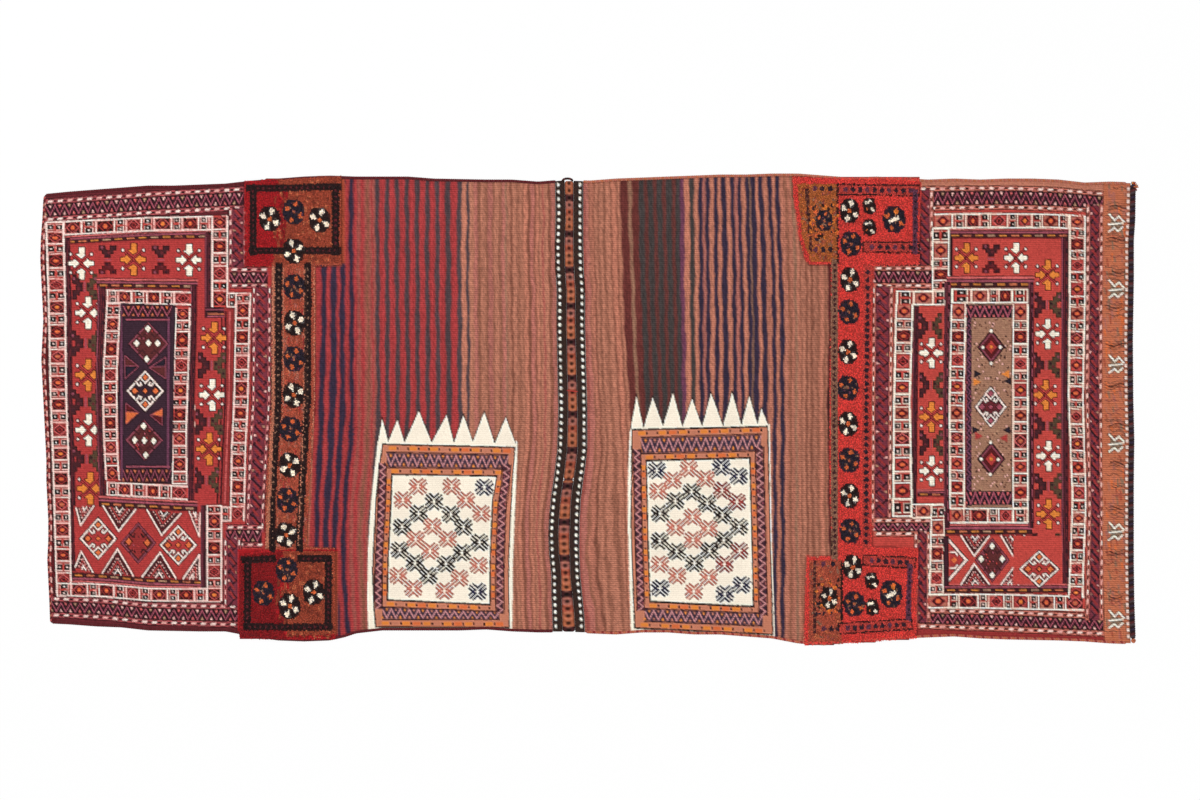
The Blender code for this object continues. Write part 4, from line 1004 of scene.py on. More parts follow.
# the frames round both panels, by their distance from the white field or the outer corners
panelFrame = {
    "zigzagPitch": 9, "zigzagLine": 0.9, "columnPitch": 8, "columnLine": 0.85,
    "leftColumn": (-13.2, -6.8), "rightColumn": (6.8, 14.0),
    "leftDashes": (-5.6, -1.8), "rightDashes": (1.8, 5.6), "dashPitch": 10.4, "sidePitch": 7.0,
}


def sideLine(points, away):
    return tuple((y, x + away) for x, y in points)


def paintPanelFrame(foot, inner, lefts, rights):
    upperLeft, upperRight, lowerRight, lowerLeft = foot
    topLeft, topRight, bottomRight, bottomLeft = inner[0], inner[1], rights[-1], lefts[-1]
    upper = band("x", topLeft[0] - 6, topRight[0] + 12,
        ((upperLeft[0], upperLeft[1] + 9.5), (upperRight[0], upperRight[1] + 9)),
        ((topLeft[0], topLeft[1] - 8.5), (topRight[0], topRight[1] - 8.5)))
    lower = band("x", bottomLeft[0] - 6, bottomRight[0] + 10,
        ((bottomLeft[0], bottomLeft[1] + 8.5), (bottomRight[0], bottomRight[1] + 8)),
        ((lowerLeft[0], lowerLeft[1] - 8.5), (lowerRight[0], lowerRight[1] - 9.5)))
    leftSide = band("y", topLeft[1] - 12, bottomLeft[1] + 10,
        *(sideLine(lefts, x) for x in panelFrame["leftColumn"]))
    rightSide = band("y", topRight[1] - 12, bottomRight[1] + 10,
        *(sideLine(rights, x) for x in panelFrame["rightColumn"]))
    for run in (upper, lower):
        zigzag(run, panelFrame["zigzagPitch"], "stripeNavy", "dustyRose", ("orange", "salmon"),
            panelFrame["zigzagLine"])
    for run in (leftSide, rightSide):
        zigzag(run, panelFrame["columnPitch"], "wine", "dustyRose", ("stripeNavy", "dusk"),
            panelFrame["columnLine"])
    dashRows = ((upperLeft[1] + 4.6, upperRight[1] + 4.4, upperLeft[0] + 4, upperRight[0] - 5),
        (topLeft[1] - 4.4, topRight[1] - 4.4, topLeft[0] - 4, topRight[0] + 7),
        (bottomLeft[1] + 4.8, bottomRight[1] + 4.6, bottomLeft[0] - 4, bottomRight[0] + 7),
        (lowerLeft[1] - 4.4, lowerRight[1] - 4.4, lowerLeft[0] + 4, lowerRight[0] - 5))
    for y0, y1, x0, x1 in dashRows:
        run = band("x", x0, x1, ((x0, y0 - 1.9), (x1, y1 - 1.9)), ((x0, y0 + 1.9), (x1, y1 + 1.9)))
        dashes(run, panelFrame["dashPitch"], 7.4, "orange", 0.0, 1.0, lift=0.6,
            others=("orange", "frameSalmon", "orange", "ember"))
        run["start"] += 8.2
        dashes(run, panelFrame["dashPitch"], 1.7, "stepped", 0.15, 0.85, lift=0.5)
    for run, away in ((upper, 0.06), (lower, 0.06), (leftSide, 0.1), (rightSide, 0.1)):
        for t in (-away, 1 + away):
            stroke([at(run, a, t) for a in np.linspace(run["start"], run["end"], 8)], 1.1, "stepped", 0.5)
    for line, reach in ((lefts, panelFrame["leftDashes"]), (rights, panelFrame["rightDashes"])):
        run = band("y", line[0][1] + 2, line[-1][1] - 2, *(sideLine(line, x) for x in reach))
        dashes(run, panelFrame["sidePitch"], 4.6, "orange", 0.0, 1.0, lift=0.6, others=("orange", "ember",
            "frameSalmon"))
        run["start"] += 5.2
        dashes(run, panelFrame["sidePitch"], 1.6, "stepped", 0.2, 0.8, lift=0.5)


def paintPanel(panel):
    foot, inner = panel["corners"], panel["inner"]
    teeth = [panel["start"]] + list(panel["teeth"])
    fill([foot[3]] + teeth + [foot[2]], "panelWhite", 0.5)
    fill(panel["margin"], "panelWhite", 0.5)
    for tip, valley in zip(teeth, teeth[1:]):
        stroke([tip, valley], 0.9, "blackBrown", 0.3)
    fill(panel["frame"], "blackBrown", 0.5)
    middle = ((foot[0][0] + foot[1][0]) / 2, (foot[0][1] + foot[2][1]) / 2)
    fill([between(p, middle, 0.018) for p in panel["frame"]], "frameSalmon", 0.6)
    halfWay = (inner[0][0] + inner[1][0]) / 2
    lefts = sorted([p for p in inner if p[0] <= halfWay], key=lambda p: p[1])
    rights = sorted([p for p in inner if p[0] > halfWay], key=lambda p: p[1])
    paintPanelFrame(foot, inner, lefts, rights)
    middle = (halfWay, (inner[0][1] + lefts[-1][1]) / 2)
    fill([between(p, middle, -0.03) for p in inner], "blackBrown", 0.6)
    fill(inner, "panelWhite", 0.6)
    for x, y, yarn in panel["crosses"]:
        crossMotif(x, y, yarn)


paintPanel(panels["left"])
paintPanel(panels["right"])
print("panels drawn")


def insideOutline(px, py, outline):
    inside = np.zeros(px.shape, bool)
    for (x1, y1), (x2, y2) in zip(outline, outline[1:] + outline[:1]):
        if y1 != y2:
            crosses = (py >= min(y1, y2)) & (py < max(y1, y2))
            inside ^= crosses & (px < (x2 - x1) * (py - y1) / (y2 - y1) + x1)
    return inside


# knotted pile: outlines of the two I-shaped strips and what is knotted into them
leftPile = {
    "outline": ((245, 181), (342, 176), (342, 265), (315.5, 266), (316, 300), (315, 400), (312, 450),
    (309, 500), (307, 547),
    (335, 548), (335, 641), (240, 638), (240, 556), (266, 549), (266, 500), (269, 450),
    (272, 400), (272.5, 300), (272.5, 267), (245, 266)),
    "web": {"left": ((266, 272.5), (400, 272), (450, 269), (500, 266), (548, 266)),
    "right": ((266, 315.5), (300, 316), (400, 315), (450, 312), (500, 309), (548, 307))},
    "flowers": ((270, 219, "W"), (294, 212, "N"), (320, 220, "W"), (294, 251, "W"), (294.5, 287, "N"),
    (295, 323, "W"),
    (294.5, 359, "N"), (294, 395, "W"), (291, 429, "N"), (290, 465, "W"), (287.5, 500, "N"),
    (286.5, 535, "W"), (287, 570, "N"), (264, 593, "N"), (290, 606, "W"), (314, 592, "W")),
}
rightPile = {
    "outline": ((792, 177), (793.5, 200), (797, 220), (800, 240), (804, 258), (809, 265), (831, 264),
    (831, 300), (829.5, 400),
    (830, 500), (832, 556), (806, 557), (804, 645), (850, 643), (916, 638), (918, 548),
    (872, 547), (870, 500), (870, 400), (872, 300), (872, 266), (919, 265), (921, 178)),
    "flowers": ((824, 220.6, "N"), (849.5, 211, "W"), (869.3, 206, "w"), (869.3, 227.5, "w"),
    (894, 219.5, "B"), (851, 244, "N"),
    (850, 280, "W"), (849, 312, "N"), (848, 352, "W"), (848, 388, "N"), (848, 424, "W"), (849, 460, "N"),
    (849.4, 495.7, "W"), (850, 531, "N"), (852.5, 567, "W"), (854, 604, "N"), (871.4, 580.7,
    "w"), (872, 607, "w"), (891, 594, "B"), (829.3, 598, "V")),
}


def dottedBand(points, width, dark="navy", light="rust", pitch=6.5, ground=None, size=2.6):
    if ground:
        stroke(points, width + 3, ground, 0.0)
    stroke(points, width, dark, 0.0)
    for (x1, y1), (x2, y2) in zip(points, points[1:]):
        length = ((x2 - x1) ** 2 + (y2 - y1) ** 2) ** 0.5
        count = int(length / pitch)
        for i in range(count):
            x, y = between((x1, y1), (x2, y2), (i + 0.5) / count)
            dot(x, y, size, light, 0.2)


leftPile["grounds"] = (
    (((245, 175), (345, 175), (345, 264), (245, 264)), "pileRust"),
    (((238, 549), (338, 549), (338, 645), (238, 645)), "leftRed"),
    (((283, 551), (338, 551), (338, 634), (287, 636)), "pileRust"),
    (((245, 181), (278, 179), (284, 220), (272, 266), (245, 266)), "leftRed"),
    (((240, 556), (283, 550), (276, 600), (287, 640), (240, 638)), "deepRed"))
leftPile["specks"] = (
    ((274, 180, 340, 264), ("rust", "pileBrown", "pileRust")),
    ((280, 552, 334, 638), ("rust", "pileBrown", "pileBrown")),
    ((278, 268, 308, 545), ("rust", "rosewood", "pileRust")))
leftPile["webStreaks"] = (280, 268, 306, 544)
leftPile["seams"] = ((276, 184, 288, 246), (276, 566, 288, 622))
leftPile["dottedLines"] = (
    [(250, 188.5), (338, 187)], [(336, 188), (336, 252)], [(253.5, 188), (253.5, 252)], [(253, 250.5),
    (286, 250.5)], [(304, 250.5), (338, 250.5)], [(245, 559.5), (273, 558.5)], [(301, 558.5), (329, 558.5)],
    [(248, 560), (247.5, 626)], [(329, 560), (328.5, 626)], [(247, 626.5), (329, 627)])
leftPile["edgeLines"] = ((273.8, 3.2), (283.4, 1.0), (304.6, 1.0), (314.4, 1.4))


def paintLeftPile():
    pile = leftPile
    fill(pile["outline"], "webRust", 0.0)
    for points, yarn in pile["grounds"]:
        fill(points, yarn, 0.0)
    for box, tones in pile["specks"]:
        for x, y in scattered(150, *box):
            dot(x, y, 2.6 + 1.4 * chance.random(), picked(tones), 0.1)
    for x, y in scattered(170, *pile["webStreaks"]):
        stroke([(x, y), (x, y + 5)], 1.2, picked(("brick", "salmonDeep", "pileRust")), 0.1)
    for box in pile["seams"]:
        for x, y in scattered(46, *box):
            stroke([(x, y), (x, y + 6)], 2.2, picked(("leftRed", "pileRust", "deepRed", "pileBrown")), 0.1)
    for offset, side in ((6.5, "left"), (-7.5, "right")):
        points = [(x + offset, y) for y, x in pile["web"][side]]
        dottedBand(points, 7.0, "blackBrown", "greyBrown", 6.8, size=1.9)
    for points in pile["dottedLines"]:
        dottedBand(points, 7.0, "blackBrown", "plum", 5.4)
    for x, width in pile["edgeLines"]:
        stroke([(x, 268), (x, 400), (x - 3, 470), (x - 6.4, 546)], width, "edgeTan", 0.1)
    for x, y, kind in pile["flowers"]:
        flower(x, y, kind, turned=kind == "W" and 250 < y < 550)


rightPile["grounds"] = (
    (rightPile["outline"], "scarlet"),
    (((796, 184), (838, 184), (838, 262), (809, 262), (800, 236)), "oliveRust"),
    (((808, 560), (841, 560), (841, 642), (806, 642)), "webRust"))
rightPile["specks"] = ((800, 186, 836, 260), (810, 562, 840, 640))
rightPile["columns"] = (
    ([(867.5, 268), (867.5, 300), (866, 400), (866, 545)], 7.4, "warmRed", "navy", 6.6, "scarlet", 4.8),
    ([(834.5, 262), (834, 400), (834.5, 556)], 6.4, "olive", "stepped", 5.6, None, 3.6))
# rows of squares by their two ends, some in a frame
rightPile["squareRows"] = (
    ((811, 189), (834, 189), False), ((842, 189.5), (914, 190.5), True),
    ((812, 249.5), (834, 249.5), False), ((868, 247), (914, 247.5), True),
    ((818, 563.5), (838, 563.5), False), ((868, 560), (910, 562.5), True),
    ((820, 628.5), (842, 628.5), False), ((844, 628), (907, 624), True))
rightPile["dottedLines"] = (
    ([(915, 192), (914.5, 252)], 5.0, "purple", "navy", 6.5),
    ([(909.5, 566), (908, 618)], 5.0, "purple", "navy", 6.5),
    ([(806.5, 190), (811, 250)], 3.0, "stepped", "bark", 5.5),
    ([(814.5, 562), (814.5, 632)], 3.0, "stepped", "bark", 5.5))
rightPile["lines"] = (
    ([(808, 557), (806.5, 640)], 3.4, "scarlet", 0.0),
    ([(795.5, 186), (800, 236), (809, 262)], 3.4, "scarlet", 0.0),
    ([(837.5, 186), (837.5, 262)], 1.8, "blackBrown", 0.0),
    ([(841.5, 562), (841.5, 622)], 1.8, "blackBrown", 0.0))
rightPile["mixed"] = ((808, 204, 838, 240), (816, 580, 840, 614))


def rightFlower(x, y, kind):
    if kind == "N":
        flower(x, y, "N", *((8.6, 10.4) if x < 835 else (10.8, 12.4)))
    elif kind == "W":
        flower(x, y, "W", 9.8, 12.4)
    elif kind == "V":
        flower(x, y, "W", 8.4, 11.2)
    elif kind == "w":
        fill([(x - 7, y - 4), (x - 3, y - 8.6), (x + 4, y - 8), (x + 7, y), (x + 6, y + 6.6), (x, y + 8.8),
            (x - 6, y + 6)], "blackBrown", 0.0)
        stroke([(x - 3.4, y - 3.4), (x + 0.6, y - 4.6)], 2.6, "ivory", 0.4)
        stroke([(x + 2.2, y + 3.2), (x + 3.8, y + 4.8)], 2.6, "ivory", 0.4)
        dot(x - 2.6, y + 2.8, 2.2, "ember", 0.3)
    else:
        flower(x, y, "N", 11.6, 13.6)
        stroke([(x - 3.4, y + 1.6), (x + 3.2, y - 1.2)], 4.0, "ivory", 0.4)
        dot(x + 2, y - 7.5, 5.0, "orange", 0.3)


def paintRightPile():
    pile = rightPile
    for points, yarn in pile["grounds"]:
        fill(points, yarn, 0.0)
    for box in pile["specks"]:
        for x, y in scattered(110, *box):
            if insideOutline(np.array(x), np.array(y), pile["outline"]):
                dot(x, y, 2.2 + 1.2 * chance.random(), picked(("rust", "rust", "olive", "clay",
                    "pileRust")), 0.1)
    for column in pile["columns"]:
        dottedBand(*column)
    for start, end, framed in pile["squareRows"]:
        if framed:
            stroke([start, end], 11.4, "blackBrown", 0.0)
            stroke([start, end], 9.2, "warmRed", 0.0)
        count = int((end[0] - start[0]) / 7.0)
        for i in range(count):
            x, y = between(start, end, (i + 0.5) / count)
            dot(x, y, 5.0, "navy" if i % 3 else "purple", 0.2)
    for line in pile["dottedLines"]:
        dottedBand(*line)
    strokes(pile["lines"])
    for box in pile["mixed"]:
        for i, (x, y) in enumerate(scattered(64, *box)):
            dot(x, y, 2.4 + 1.6 * chance.random(), ("orange", "blackBrown", "navy", "ember")[i % 4], 0.2)
    for x, y, kind in pile["flowers"]:
        rightFlower(x, y, kind)


paintLeftPile()
paintRightPile()
print("pile drawn")


# cloth: every sheet is a closed grid whose stitches take their dye and height from the picture
# heights over the floor and of the relief, in metres
laid = {"sway": 0.0009, "swayLift": 1.6, "swayShare": 0.6, "underside": 0.0003, "face": 0.0036,
        "back": 0.0026,
    "endBand": 0.0034,
    "edging": 0.0050, "braid": 0.0045, "pileUnder": 0.0032, "pileBase": 0.0062, "tuftFoot": 0.0058,
    "tuftTip": 0.0082}


def readPicture(px, py, spread=1, sharp=1.1):
    fine = weaving["fine"]
    column = np.clip(((px - weaving["left"]) * fine).astype(int), 2, canvasColumns - 3)
    row = np.clip(((py - weaving["top"]) * fine).astype(int), 2, canvasRows - 3)
    colour = np.zeros(px.shape + (3,), np.float32)
    lift = np.zeros(px.shape, np.float32)
    for i in range(-spread, spread + 1):
        for j in range(-spread, spread + 1):
            colour += dyeLayer[row + i, column + j]
            lift += liftLayer[row + i, column + j]
    count = (2 * spread + 1) ** 2
    colour, lift = colour / count, lift / count
    if px.ndim == 2 and sharp:
        near = np.pad(colour, ((1, 1), (1, 1), (0, 0)), "edge")
        around = (near[:-2, 1:-1] + near[2:, 1:-1] + near[1:-1, :-2] + near[1:-1, 2:]) / 4
        light, nearLight = colour.mean(-1, keepdims=True), around.mean(-1, keepdims=True)
        crisp = np.clip(1 + sharp * (light - nearLight) / np.maximum(light, 0.01), 0.3, 1.7)
        colour = np.clip(colour * crisp, 0.004, 1.0)
    return colour, lift


# slow rise and fall of cloth lying on a flat floor, in metres
def wave(px, py):
    x, y = px / 100, py / 100
    slow = np.sin(2.1 * x + 0.9 * y) * np.sin(1.7 * y - 0.6 * x + 0.8)
    quick = 0.6 * np.sin(4.3 * x - 1.2 * y + 2) * np.sin(3.1 * y + 0.7)
    return laid["sway"] * (slow + quick + laid["swayLift"]) * laid["swayShare"]


# columns and rows are counts, or the shares of the width and height where the lines run
def gridPixels(leftLine, rightLine, columns, rows, inset=0.6):
    across = np.linspace(0, 1, columns) if isinstance(columns, int) else columns
    down = np.linspace(0, 1, rows) if isinstance(rows, int) else rows
    s, t = np.meshgrid(across, down)
    x = guide(leftLine, 400.0) * (1 - s) + guide(rightLine, 400.0) * s
    for _ in range(8):
        top, bottom = guide(bag["top"], x) + inset, guide(bag["bottom"], x) - inset
        y = top + (bottom - top) * t
        x = guide(leftLine, y) * (1 - s) + guide(rightLine, y) * s
    return x, y


# points n x 3, faces a list of index arrays that each hold faces of one size, colours n x 3; the last
# argument goes to the colour's alpha, where the material reads how much painted rib shade a stitch takes
def buildMesh(name, points, faces, colours, ribShadeShare=None):
    mesh = bpy.data.meshes.new(name)
    mesh.vertices.add(len(points))
    mesh.vertices.foreach_set("co", points.astype(np.float32).ravel())
    sizes = np.concatenate([np.full(len(f), f.shape[1], np.int32) for f in faces])
    corners = np.concatenate([f.ravel() for f in faces]).astype(np.int32)
    mesh.loops.add(len(corners))
    mesh.loops.foreach_set("vertex_index", corners)
    mesh.polygons.add(len(sizes))
    mesh.polygons.foreach_set("loop_start", np.concatenate([[0], np.cumsum(sizes)[:-1]]).astype(np.int32))
    mesh.polygons.foreach_set("loop_total", sizes)
    mesh.update(calc_edges=True)
    attribute = mesh.color_attributes.new("dye", "FLOAT_COLOR", "POINT")
    rgba = np.ones((len(points), 4), np.float32)
    rgba[:, :3] = colours
    if ribShadeShare is not None:
        rgba[:, 3] = ribShadeShare
    attribute.data.foreach_set("color", rgba.ravel())
    mesh.validate()
    piece = bpy.data.objects.new(name, mesh)
    bpy.context.scene.collection.objects.link(piece)
    return piece


# fine upper side, coarse underside, closed by a wall of one many-sided face per coarse step
def clothSheet(name, px, py, thick, rise, colour, under, ribShadeShare=None):
    rows, columns = px.shape
    coarse = pitch["coarse"]
    x, y = metres(px, py)
    floor = wave(px, py)
    top = np.stack([x, y, floor + thick + rise], -1).reshape(-1, 3)
    pickRows, pickColumns = np.arange(0, rows, coarse), np.arange(0, columns, coarse)
    below = np.stack([x, y, floor + laid["underside"]], -1)[np.ix_(pickRows, pickColumns)].reshape(-1, 3)
    index = np.arange(rows * columns).reshape(rows, columns)
    low = rows * columns + np.arange(len(below)).reshape(len(pickRows), len(pickColumns))
    upper = np.stack([index[:-1, :-1], index[1:, :-1], index[1:, 1:], index[:-1, 1:]], -1).reshape(-1, 4)
    lower = np.stack([low[:-1, :-1], low[:-1, 1:], low[1:, 1:], low[1:, :-1]], -1).reshape(-1, 4)
    walls = []
    rims = ((index[0], low[0], 1), (index[-1], low[-1], -1), (index[:, 0], low[:, 0], -1), (index[:, -1],
        low[:, -1], 1))
    for edge, lowEdge, turn in rims:
        for k in range(len(lowEdge) - 1):
            ring = list(edge[k * coarse:(k + 1) * coarse + 1]) + [lowEdge[k + 1], lowEdge[k]]
            walls.append(ring if turn > 0 else ring[::-1])
    colours = np.concatenate([colour.reshape(-1, 3), under[np.ix_(pickRows, pickColumns)].reshape(-1, 3)])
    if ribShadeShare is not None:
        ribShadeShare = np.concatenate([ribShadeShare.ravel(), np.ones(len(below))])
    return buildMesh(name, np.concatenate([top, below]), [upper, lower, np.array(walls)], colours, ribShadeShare)


# sheet as fine below as above, with holes where keep is False
def slimSheet(name, px, py, low, high, colour, keep=None):
    rows, columns = px.shape
    x, y = metres(px, py)
    keep = np.ones((rows - 1, columns - 1), bool) if keep is None else keep
    index = np.arange(rows * columns).reshape(rows, columns)
    total = rows * columns
    upper = np.stack([index[:-1, :-1], index[1:, :-1], index[1:, 1:], index[:-1, 1:]], -1)[keep]
    lower = upper[:, ::-1] + total
    padded = np.pad(keep, 1)
    walls = []
    for r, c in zip(*np.nonzero(keep)):
        a, b, d, e = index[r, c], index[r + 1, c], index[r + 1, c + 1], index[r, c + 1]
        sides = ((padded[r + 1, c], a, b), (padded[r + 2, c + 1], b, d), (padded[r + 1, c + 2], d, e),
            (padded[r, c + 1], e, a))
        for there, p, q in sides:
            if not there:
                walls.append((q, p, p + total, q + total))
    points = np.concatenate([np.stack([x, y, high], -1).reshape(-1, 3), np.stack([x, y, low],
        -1).reshape(-1, 3)])
    faces = np.concatenate([upper, lower, np.array(walls)])
    used = np.unique(faces)
    renumber = np.zeros(2 * total, int)
    renumber[used] = np.arange(len(used))
    colours = np.concatenate([colour.reshape(-1, 3), colour.reshape(-1, 3)])
    return buildMesh(name, points[used], [renumber[faces]], colours[used])


# stitch spacings in photo pixels; the underside has one line for every few of the upper side
pitch = {"face": 1.125, "stripe": 1.3, "rib": 2.4, "brocade": 1.08, "coarse": 8}


def spanCount(length, step, multiple):
    return int(round(length / step / multiple)) * multiple + 1


def heather(shapeOf, amount):
    return (1 + amount * (chance.random(shapeOf) * 2 - 1))[..., None].astype(np.float32)


# shares from 0 to 1 of lines whose spacing changes from span to span; spans are (length, spacing)
def gradedLines(spans):
    multiple = pitch["coarse"]
    whole = sum(length for length, _ in spans)
    lines, start = [0.0], 0.0
    for length, spacing in spans:
        count = max(multiple, int(round(length / spacing / multiple)) * multiple)
        lines += [(start + length * (i + 1) / count) / whole for i in range(count)]
        start += length
    return np.array(lines)


def makeFace(name, leftLine, rightLine, width):
    rows = spanCount(447, pitch["face"], pitch["coarse"])
    columns = spanCount(width, pitch["face"], pitch["coarse"])
    px, py = gridPixels(leftLine, rightLine, columns, rows)
    colour, lift = readPicture(px, py)
    slant = ((np.arange(rows)[:, None] + np.arange(columns)[None, :]) % 2) * 1.0
    colour = colour * heather(px.shape, 0.2)
    rise = 0.0011 * lift + 0.0003 * slant
    under = np.empty_like(colour)
    under[:] = yarns["madder"]
    return clothSheet(name, px, py, laid["face"], rise, colour, under)


def makeBack(name, leftLine, rightLine, spansAcross, spansDown):
    across, down = gradedLines(spansAcross), gradedLines(spansDown)
    px, py = gridPixels(leftLine, rightLine, across, down)
    colour, lift = readPicture(px, py)
    colour = np.where(lift[..., None] > 0.25, colour, readPicture(px, py, 2, 0)[0])
    column = 1 + 0.12 * (chance.random((1, len(across))) * 2 - 1)
    shade = np.where(lift > 0.25, 1.0, column * (1 + 0.26 * (chance.random(px.shape) * 2 - 1)))
    colour = colour * shade[..., None] * heather(px.shape, 0.05)
    rise = 0.0003 + 0.0009 * lift
    under = colour.copy()
    under[lift > 0.25] = yarns["salmon"]
    # how much of the material's painted rib shade each stitch takes: a quarter on the brocade, all of it on
    # the plain weave
    ribShadeShare = np.where(lift > 0.25, 0.25, 1.0)
    return clothSheet(name, px, py, laid["back"], rise, colour.astype(np.float32), under, ribShadeShare)


# spans across and down, each as its length in photo pixels and its stitch spacing
backSpans = {
    "leftAcross": ((76, pitch["stripe"]), (150, pitch["brocade"]), (37, pitch["stripe"])),
    "leftDown": ((212, pitch["rib"]), (242, pitch["brocade"])),
    "rightAcross": ((40, pitch["stripe"]), (151, pitch["brocade"]), (73, pitch["stripe"])),
    "rightDown": ((212, pitch["rib"]), (250, pitch["brocade"])),
}
leftFaceCloth = makeFace("leftFaceCloth", shifted(bag["leftEnd"], 1.5), bag["leftWeb"], 248)
rightFaceCloth = makeFace("rightFaceCloth", bag["rightWeb"], bag["endBand"], 253)
leftBackCloth = makeBack("leftBackCloth", bag["leftWeb"], bag["joinLeft"], backSpans["leftAcross"],
    backSpans["leftDown"])
rightBackCloth = makeBack("rightBackCloth", bag["joinRight"], bag["rightWeb"],
    backSpans["rightAcross"], backSpans["rightDown"])
print("cloth woven")


# the band's closure slits are worked openings
def makeEndBand():
    rows, columns = spanCount(460, 1.1, 1), spanCount(25, 1.3, 1)
    px, py = gridPixels(bag["endBand"], bag["rightEnd"], columns, rows)
    colour, lift = readPicture(px, py)
    keep = np.ones((rows - 1, columns - 1), bool)
    pucker = np.zeros(px.shape)
    for y in slits["rows"]:
        bow = y + 2.0 * np.cos((px - slits["from"]) / (slits["to"] - slits["from"]) * pi)
        away = np.abs(py - bow)
        inside = (px > slits["from"]) & (px < slits["to"])
        pucker += np.where(inside, np.exp(-(away / 2.6) ** 2), 0)
        middle = (away[:-1, :-1] + away[1:, 1:]) / 2
        keep &= ~(inside[:-1, :-1] & inside[1:, 1:] & (middle < slits["half"]))
    # painted shade: every third row darker for the grooves between ribs, and a dark band on the slopes of
    # the pucker just beside each slit
    rib = (np.arange(rows) % 3 == 0)[:, None] * np.ones((1, columns))
    shade = 1 - 0.14 * rib - 0.3 * np.exp(-((pucker - 0.85) / 0.25) ** 2)
    colour = colour * heather(px.shape, 0.14) * shade[..., None]
    floor = wave(px, py)
    high = floor + laid["endBand"] + 0.0014 * pucker + 0.0006 * lift
    return slimSheet("rightEndBand", px, py, floor + laid["underside"], high, colour, keep)


rightEndBand = makeEndBand()
print("end band woven")


# joining strips: goat-hair edgings with their rows of dots, and the braid between
joinStrip = {"edging": 9.3, "dotInset": 3.0, "dotPitch": 7.0, "braidGap": 0.16, "stitchPitch": 7.2,
    "braidTones": ("rust", "webRust", "stepped", "endRust", "rosewood")}


def paintJoin():
    for line in (bag["joinLeft"], shifted(bag["joinRight"], -joinStrip["edging"])):
        strip(band("y", 174, 645, line, shifted(line, joinStrip["edging"])), "goatHair", -0.1, 1.1)
    for line, offset in ((bag["joinLeft"], joinStrip["dotInset"]), (bag["joinRight"],
            -joinStrip["dotInset"])):
        for i in range(64):
            y = 185 + joinStrip["dotPitch"] * i
            dot(float(guide(line, y)) + offset, y, 3.3, "ivory", 0.6)


paintJoin()


def makeEdging(name, line, shift):
    rows, columns = spanCount(450, 1.15, 1), 9
    px, py = gridPixels(shifted(line, shift), shifted(line, shift + joinStrip["edging"]), columns, rows)
    colour, lift = readPicture(px, py)
    twill = ((np.arange(rows)[:, None] + 2 * np.abs(np.arange(columns)[None, :] - 4)) % 3 == 0) * 1.0
    # painted shade and highlight: stitches on the twill lines lighter, those between darker
    colour = colour * heather(px.shape, 0.3) * (0.75 + 0.4 * twill)[..., None]
    s = np.linspace(-1, 1, columns)[None, :]
    high = wave(px, py) + laid["edging"] + 0.0014 * (1 - s ** 2) + 0.0006 * twill + 0.0012 * lift
    return slimSheet(name, px, py, wave(px, py) + laid["underside"], high, colour)


leftEdging = makeEdging("leftEdging", bag["joinLeft"], 0.1)
rightEdging = makeEdging("rightEdging", bag["joinRight"], -joinStrip["edging"] - 0.1)


def makeBraid(name, fromY, toY):
    reach = joinStrip["edging"] + joinStrip["braidGap"]
    left, right = shifted(bag["joinLeft"], reach), shifted(bag["joinRight"], -reach)
    rows, columns = spanCount(toY - fromY, 0.8, 1), 13
    s, t = np.meshgrid(np.linspace(-1, 1, columns), np.linspace(0, 1, rows))
    py = fromY + (toY - fromY) * t
    fromEnd = np.clip(1 - np.minimum(t, 1 - t) * (toY - fromY) / 1.5, 0, 1)
    ends = np.sqrt(np.clip(1 - fromEnd ** 2, 0.45, 1))
    middle, half = (guide(left, py) + guide(right, py)) / 2, (guide(right, py) - guide(left, py)) / 2
    px = middle + s * half * ends
    ridge = np.abs(np.sin(pi * ((py + 3.5 * np.abs(s)) / 7.0)))
    stitch = joinStrip["stitchPitch"]
    which = (np.floor(py / stitch).astype(int) * 7 + 3) % len(joinStrip["braidTones"])
    colour = np.array([yarns[yarn] for yarn in joinStrip["braidTones"]], np.float32)[which]
    groove = np.clip(1 - np.abs(s) * 5, 0, 1) * 0.5
    dark = np.clip(1.5 * np.exp(-(s / 0.42) ** 2 - (((py % stitch) - stitch / 2) / 1.8) ** 2), 0, 1)
    # painted highlight: a coral patch on the crown of each stitch
    paintedHighlight = np.exp(-(s / 0.4) ** 2 - ((((py + stitch / 2) % stitch) - stitch / 2) / 1.5) ** 2)[...,
        None] * 0.6
    colour = colour * (1 - paintedHighlight) + np.array(yarns["coral"], np.float32) * paintedHighlight
    # painted shade: ridges of the chevrons lighter than the grooves between them and the rounded sides
    # darker; the dark spot at each stitch's middle darkens the colour too
    shade = (0.72 + 0.36 * ridge) * (1 - 0.9 * dark) * (1 - 0.7 * np.clip(np.abs(s) - 0.6, 0, 1) / 0.4)
    colour = colour * heather(px.shape, 0.22) * shade[..., None]
    crown = 0.0040 * np.sqrt(np.clip(1 - s ** 2, 0, 1)) * (0.72 + 0.4 * ridge)
    high = wave(px, py) + laid["braid"] + (crown - 0.0016 * groove) * ends
    return slimSheet(name, px, py, wave(px, py) + laid["underside"], high, colour)


upperBraid = makeBraid("upperBraid", 181.2, 479.2)
lowerBraid = makeBraid("lowerBraid", 479.6, 631.5)
print("join made")


# cords: a ribbed tube along a path, wrapped turns standing proud, each turn painted darker away from its
# crest as shade
def joined(parts, name):
    for piece in bpy.data.objects:
        piece.select_set(piece in parts)
    bpy.context.view_layer.objects.active = parts[0]
    bpy.ops.object.join()
    parts[0].name = name
    return parts[0]


